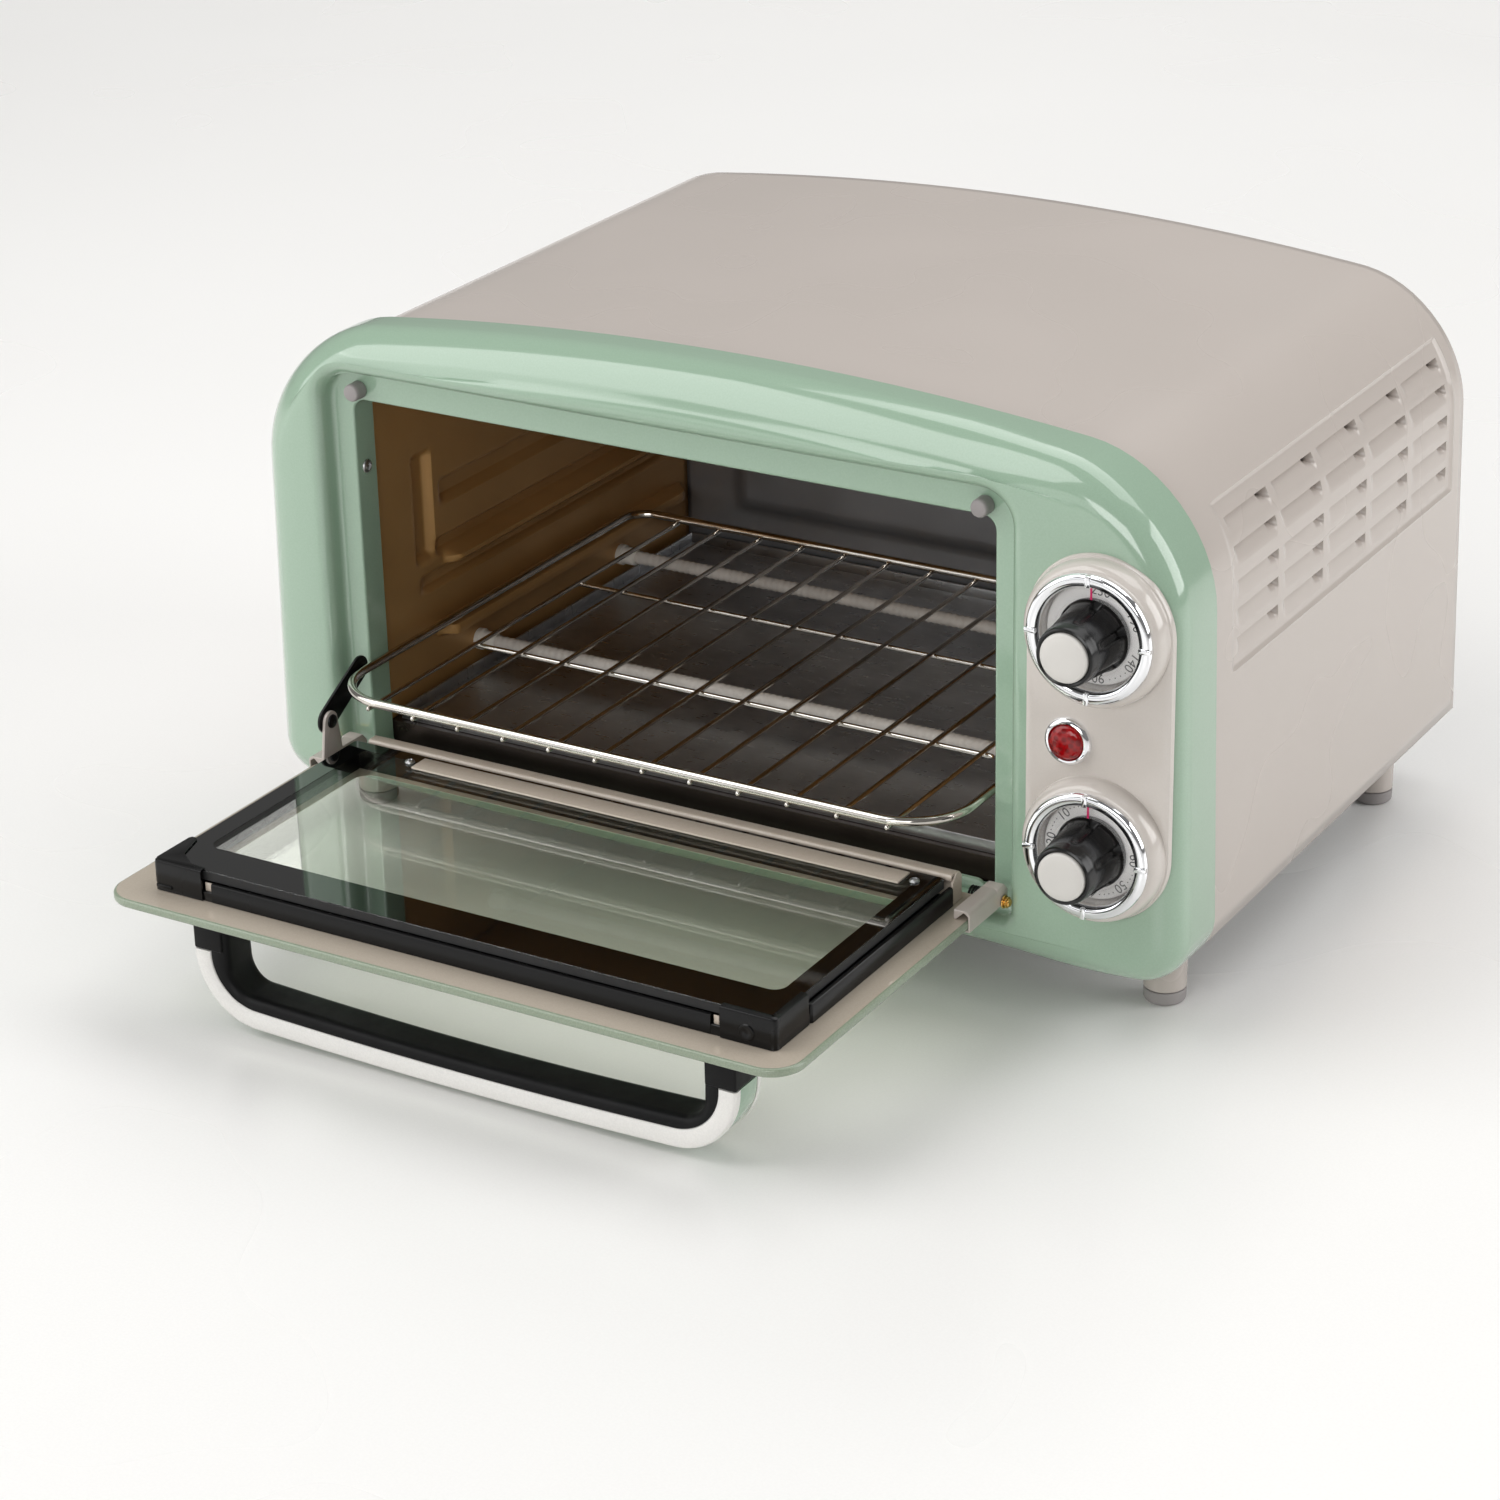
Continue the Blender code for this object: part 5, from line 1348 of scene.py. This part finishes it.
def lettering(text, size):
    """Generic numerals as a thin solid mesh, centred on the origin in X and Y."""
    curve = bpy.data.curves.new("numerals", "FONT")
    curve.body = text
    curve.size = size
    curve.align_x = "CENTER"
    curve.align_y = "CENTER"
    curve.extrude = PRINT_HALF
    curve.resolution_u = 4
    holder = bpy.data.objects.new("numerals", curve)
    mesh = bpy.data.meshes.new_from_object(holder)
    bm = bmesh.new()
    bm.from_mesh(mesh)
    bpy.data.objects.remove(holder)
    bpy.data.meshes.remove(mesh)
    return bm


def on_dial(bm, degrees, radius, depth, centre):
    """Lays a flat mesh on a dial, clockwise from the top, with its head outwards, facing the front."""
    face = Matrix.Rotation(QUARTER, 4, "X")
    turn = Matrix.Rotation(math.radians(degrees), 4, "Y")
    outwards = Matrix.Translation((0.0, 0.0, radius))
    place = Matrix.Translation((centre[0], -depth, centre[2])) @ turn @ outwards @ face
    bmesh.ops.transform(bm, matrix=place, verts=bm.verts)
    return bm


DIAL_MARKS = {  # each numeral's angle, clockwise from the top
    "thermostat": {"230": 6, "190": 64, "140": 120, "90": 176},
    "timer": {"10": -44, "20": -86, "30": -132, "40": -178, "50": 136, "60": 92},
}
DIAL_RUNS = {  # the angles that dots lie between
    "thermostat": [(6, 64, 120, 176)],
    "timer": [(0, -44, -86, -132, -178), (92, 136, 182)],
}
PRINT_DEPTH = 0.01463  # just in front of a disc
PRINT_HALF = 0.00002


def make_dial(name):
    """One dial: its ring, window and index on the casing, and the disc and knob that turn."""
    body = f"{name}_control"
    centre = (DIAL_X, 0.0, DIAL_Z[name])
    ring = ring_with_clips(centre)
    piece(f"{name}_ring", ring, CHROME, "casing", f"{name}_dial_ring", welded=False)
    window = [(0.0158, 0.0181), (0.0212, 0.0181), (0.0212, 0.0189), (0.0158, 0.0189)]
    sheet = turned(window, "y", centre, 96)
    piece(f"{name}_window", sheet, CLEAR, "casing", f"{name}_dial_window")
    mark = block((-0.00045, -0.0026, -0.00004), (0.00045, 0.0022, 0.00004))
    piece(f"{name}_index", on_dial(mark, 0, 0.0183, 0.01895, centre), INDEX, "casing")
    disc = [(0.0034, 0.0136), (0.0206, 0.0136), (0.0209, 0.0139), (0.0209, 0.0143), (0.0205, 0.0146)]
    disc += [(0.0034, 0.0146)]
    piece(f"{name}_disc", turned(disc, "y", centre, 96), SILVER, body, f"{name}_dial_disc")
    marks = []
    for text, degrees in DIAL_MARKS[name].items():
        marks.append(on_dial(lettering(text, 0.0056), degrees, 0.0180, PRINT_DEPTH, centre))
    round_dot = [(0.0, -PRINT_HALF), (0.00028, -PRINT_HALF), (0.00028, PRINT_HALF), (0.0, PRINT_HALF)]
    for run in DIAL_RUNS[name]:
        for start, end in zip(run, run[1:]):
            for share in (0.30, 0.44, 0.58, 0.72):
                dot = turned(round_dot, "z", (0, 0, 0), 10)
                marks.append(on_dial(dot, start + (end - start) * share, 0.0188, PRINT_DEPTH, centre))
    piece(f"{name}_numerals", merged(marks), INK, body, welded=False)
    make_knob(name, body, centre)


def make_knob(name, body, centre):
    """A tapered knob with six scooped flutes, a rim, and a pale cap."""
    profile = [(0.0034, 0.0149), (0.0146, 0.0149), (0.0151, 0.0153), (0.0152, 0.0166), (0.0149, 0.0174)]
    profile += [(0.0144 - 0.0019 * i / 16, 0.0180 + 0.0195 * i / 16) for i in range(17)]
    profile += [(0.0123, 0.0382), (0.0123, 0.0404), (0.0119, 0.0415), (0.0112, 0.0419), (0.0105, 0.0416)]
    profile += [(0.0103, 0.0408), (0.0, 0.0408)]

    def fluted(r, along, angle):
        if r < 0.011:
            return r, along
        scoop = smooth_step(math.cos(3 * (angle - 0.35)) ** 2, 0.72, 1.0)
        scoop *= smooth_step(along, 0.0172, 0.0192) * (1 - smooth_step(along, 0.0290, 0.0370))
        return r - 0.0021 * scoop, along

    knob = turned(profile, "y", centre, 192, fluted)
    piece(f"{name}_grip", knob, KNOB_BLACK, body, f"{name}_knob")
    cap = [(0.0, 0.0409), (0.0101, 0.0409), (0.0101, 0.0421), (0.0098, 0.0426), (0.0090, 0.0430)]
    cap += [(0.0060, 0.0433), (0.0, 0.0434)]
    piece(f"{name}_cap", turned(cap, "y", centre, 72), CAP, body, f"{name}_knob_cap")


def make_lamp():
    """The pilot lamp: a bright ring and a domed red lens."""
    centre = middle("lamp_ring")
    centre.y = 0.0
    ring = [(0.0073, 0.0112), (0.0101, 0.0112), (0.0101, 0.0120), (0.0098, 0.0131), (0.0091, 0.0139)]
    ring += [(0.0084, 0.0142), (0.0078, 0.0140), (0.0075, 0.0134)]
    piece("lamp_bezel", turned(ring, "y", centre, 72), CHROME, "casing", "lamp_ring")
    dome = [(0.0, 0.0115), (0.0074, 0.0115), (0.0074, 0.0132)]
    dome += [(0.0072 * math.cos(t), 0.0134 + 0.0026 * math.sin(t)) for t in turns(QUARTER, 9)[1:-1]]
    dome += [(0.0, 0.0160)]
    piece("lamp_dome", turned(dome, "y", centre, 64), LENS, "casing", "lamp_lens")


# ---------------------------------------------------------------- studio

def make_stage():
    """A pale floor, a dim warm world, and large soft lamps."""
    floor = Finish("studio_floor")
    floor.colour(floor.noise(900.0, 1.0), (240, 239, 237), (242, 241, 239))
    floor.rough(floor.noise(3.0, 2.0), 0.26, 0.30)
    mesh = bpy.data.meshes.new("studio_floor")
    half = 6.0
    plan = [(-half, -half), (half, -half), (half, half), (-half, half)]
    mesh.from_pydata(level(plan, 0.0), [], [(0, 1, 2, 3)])
    mesh.materials.append(floor.material)
    obj = bpy.data.objects.new("studio_floor", mesh)
    bpy.context.scene.collection.objects.link(obj)
    world = bpy.data.worlds.new("studio")
    world.use_nodes = True
    background = world.node_tree.nodes["Background"]
    background.inputs["Color"].default_value = (1.0, 0.99, 0.975, 1.0)
    background.inputs["Strength"].default_value = 0.20
    bpy.context.scene.world = world
    add_lamp("key", (-1.3, -1.0, 2.3), (0.0, 0.0, 0.1), 2.2, 1.8, 32.0)
    add_lamp("top", (0.3, 1.0, 2.2), (0.0, 0.05, 0.15), 2.6, 1.6, 25.0)
    add_lamp("right", (2.0, 0.75, 0.9), (0.1, 0.15, 0.1), 1.4, 1.4, 22.0)
    add_lamp("front", (0.5, -2.4, 1.0), (0.0, 0.0, 0.12), 1.6, 0.9, 19.0)
    add_lamp("left", (-1.9, -1.2, 0.9), (0.0, 0.0, 0.1), 1.6, 1.4, 13.0)
    add_lamp("low", (-1.1, -2.2, 0.55), (0.0, 0.0, 0.15), 1.8, 0.8, 4.0)
    add_lamp("backdrop", (-1.6, 3.0, 1.9), (-1.6, 2.8, 0.0), 3.4, 2.2, 55.0).visible_glossy = False


def add_lamp(name, at, target, wide, tall, power):
    """A rectangular area lamp that faces its target."""
    lamp = bpy.data.lights.new(name, "AREA")
    lamp.shape = "RECTANGLE"
    lamp.size = wide
    lamp.size_y = tall
    lamp.energy = power
    obj = bpy.data.objects.new(name, lamp)
    obj.location = at
    obj.rotation_euler = (Vector(target) - Vector(at)).to_track_quat("-Z", "Y").to_euler()
    bpy.context.scene.collection.objects.link(obj)
    return obj


def make_camera():
    """A long lens, 30 degrees to the right of the front and 24 degrees above it, a trace rolled."""
    azimuth, elevation, roll = math.radians(30.377), math.radians(23.830), math.radians(-0.977)
    away = math.cos(elevation)
    back = Vector((math.sin(azimuth) * away, -math.cos(azimuth) * away, math.sin(elevation)))
    sideways = Vector((math.cos(azimuth), math.sin(azimuth), 0.0))
    upright = back.cross(sideways)
    right = sideways * math.cos(roll) + upright * math.sin(roll)
    up = upright * math.cos(roll) - sideways * math.sin(roll)
    data = bpy.data.cameras.new("camera")
    data.sensor_width = 36.0
    data.lens = 93.49
    data.shift_x = -0.0381
    data.shift_y = -0.0114
    data.clip_start = 0.05
    camera = bpy.data.objects.new("camera", data)
    place = Matrix((right, up, back)).transposed().to_4x4()
    place.translation = Vector((0.7909, -1.2633, 0.7491)) + SEAT
    camera.matrix_world = place
    bpy.context.scene.collection.objects.link(camera)
    bpy.context.scene.camera = camera


make_camera()
make_stage()
make_bezel()
make_shell()
make_base()
make_rear()
make_cavity()
make_rack()
make_seat_fittings()
make_door_glass()
make_inner_pane()
make_inner_frame()
make_rail()
make_hinges()
make_link()
make_handle()
make_panel()
for dial in DIAL_Z:
    make_dial(dial)
make_lamp()
dress(ZINC, "thermostat_body", "timer_body", "thermostat_shaft", "timer_shaft")

bpy.context.scene.view_settings.view_transform = "Standard"
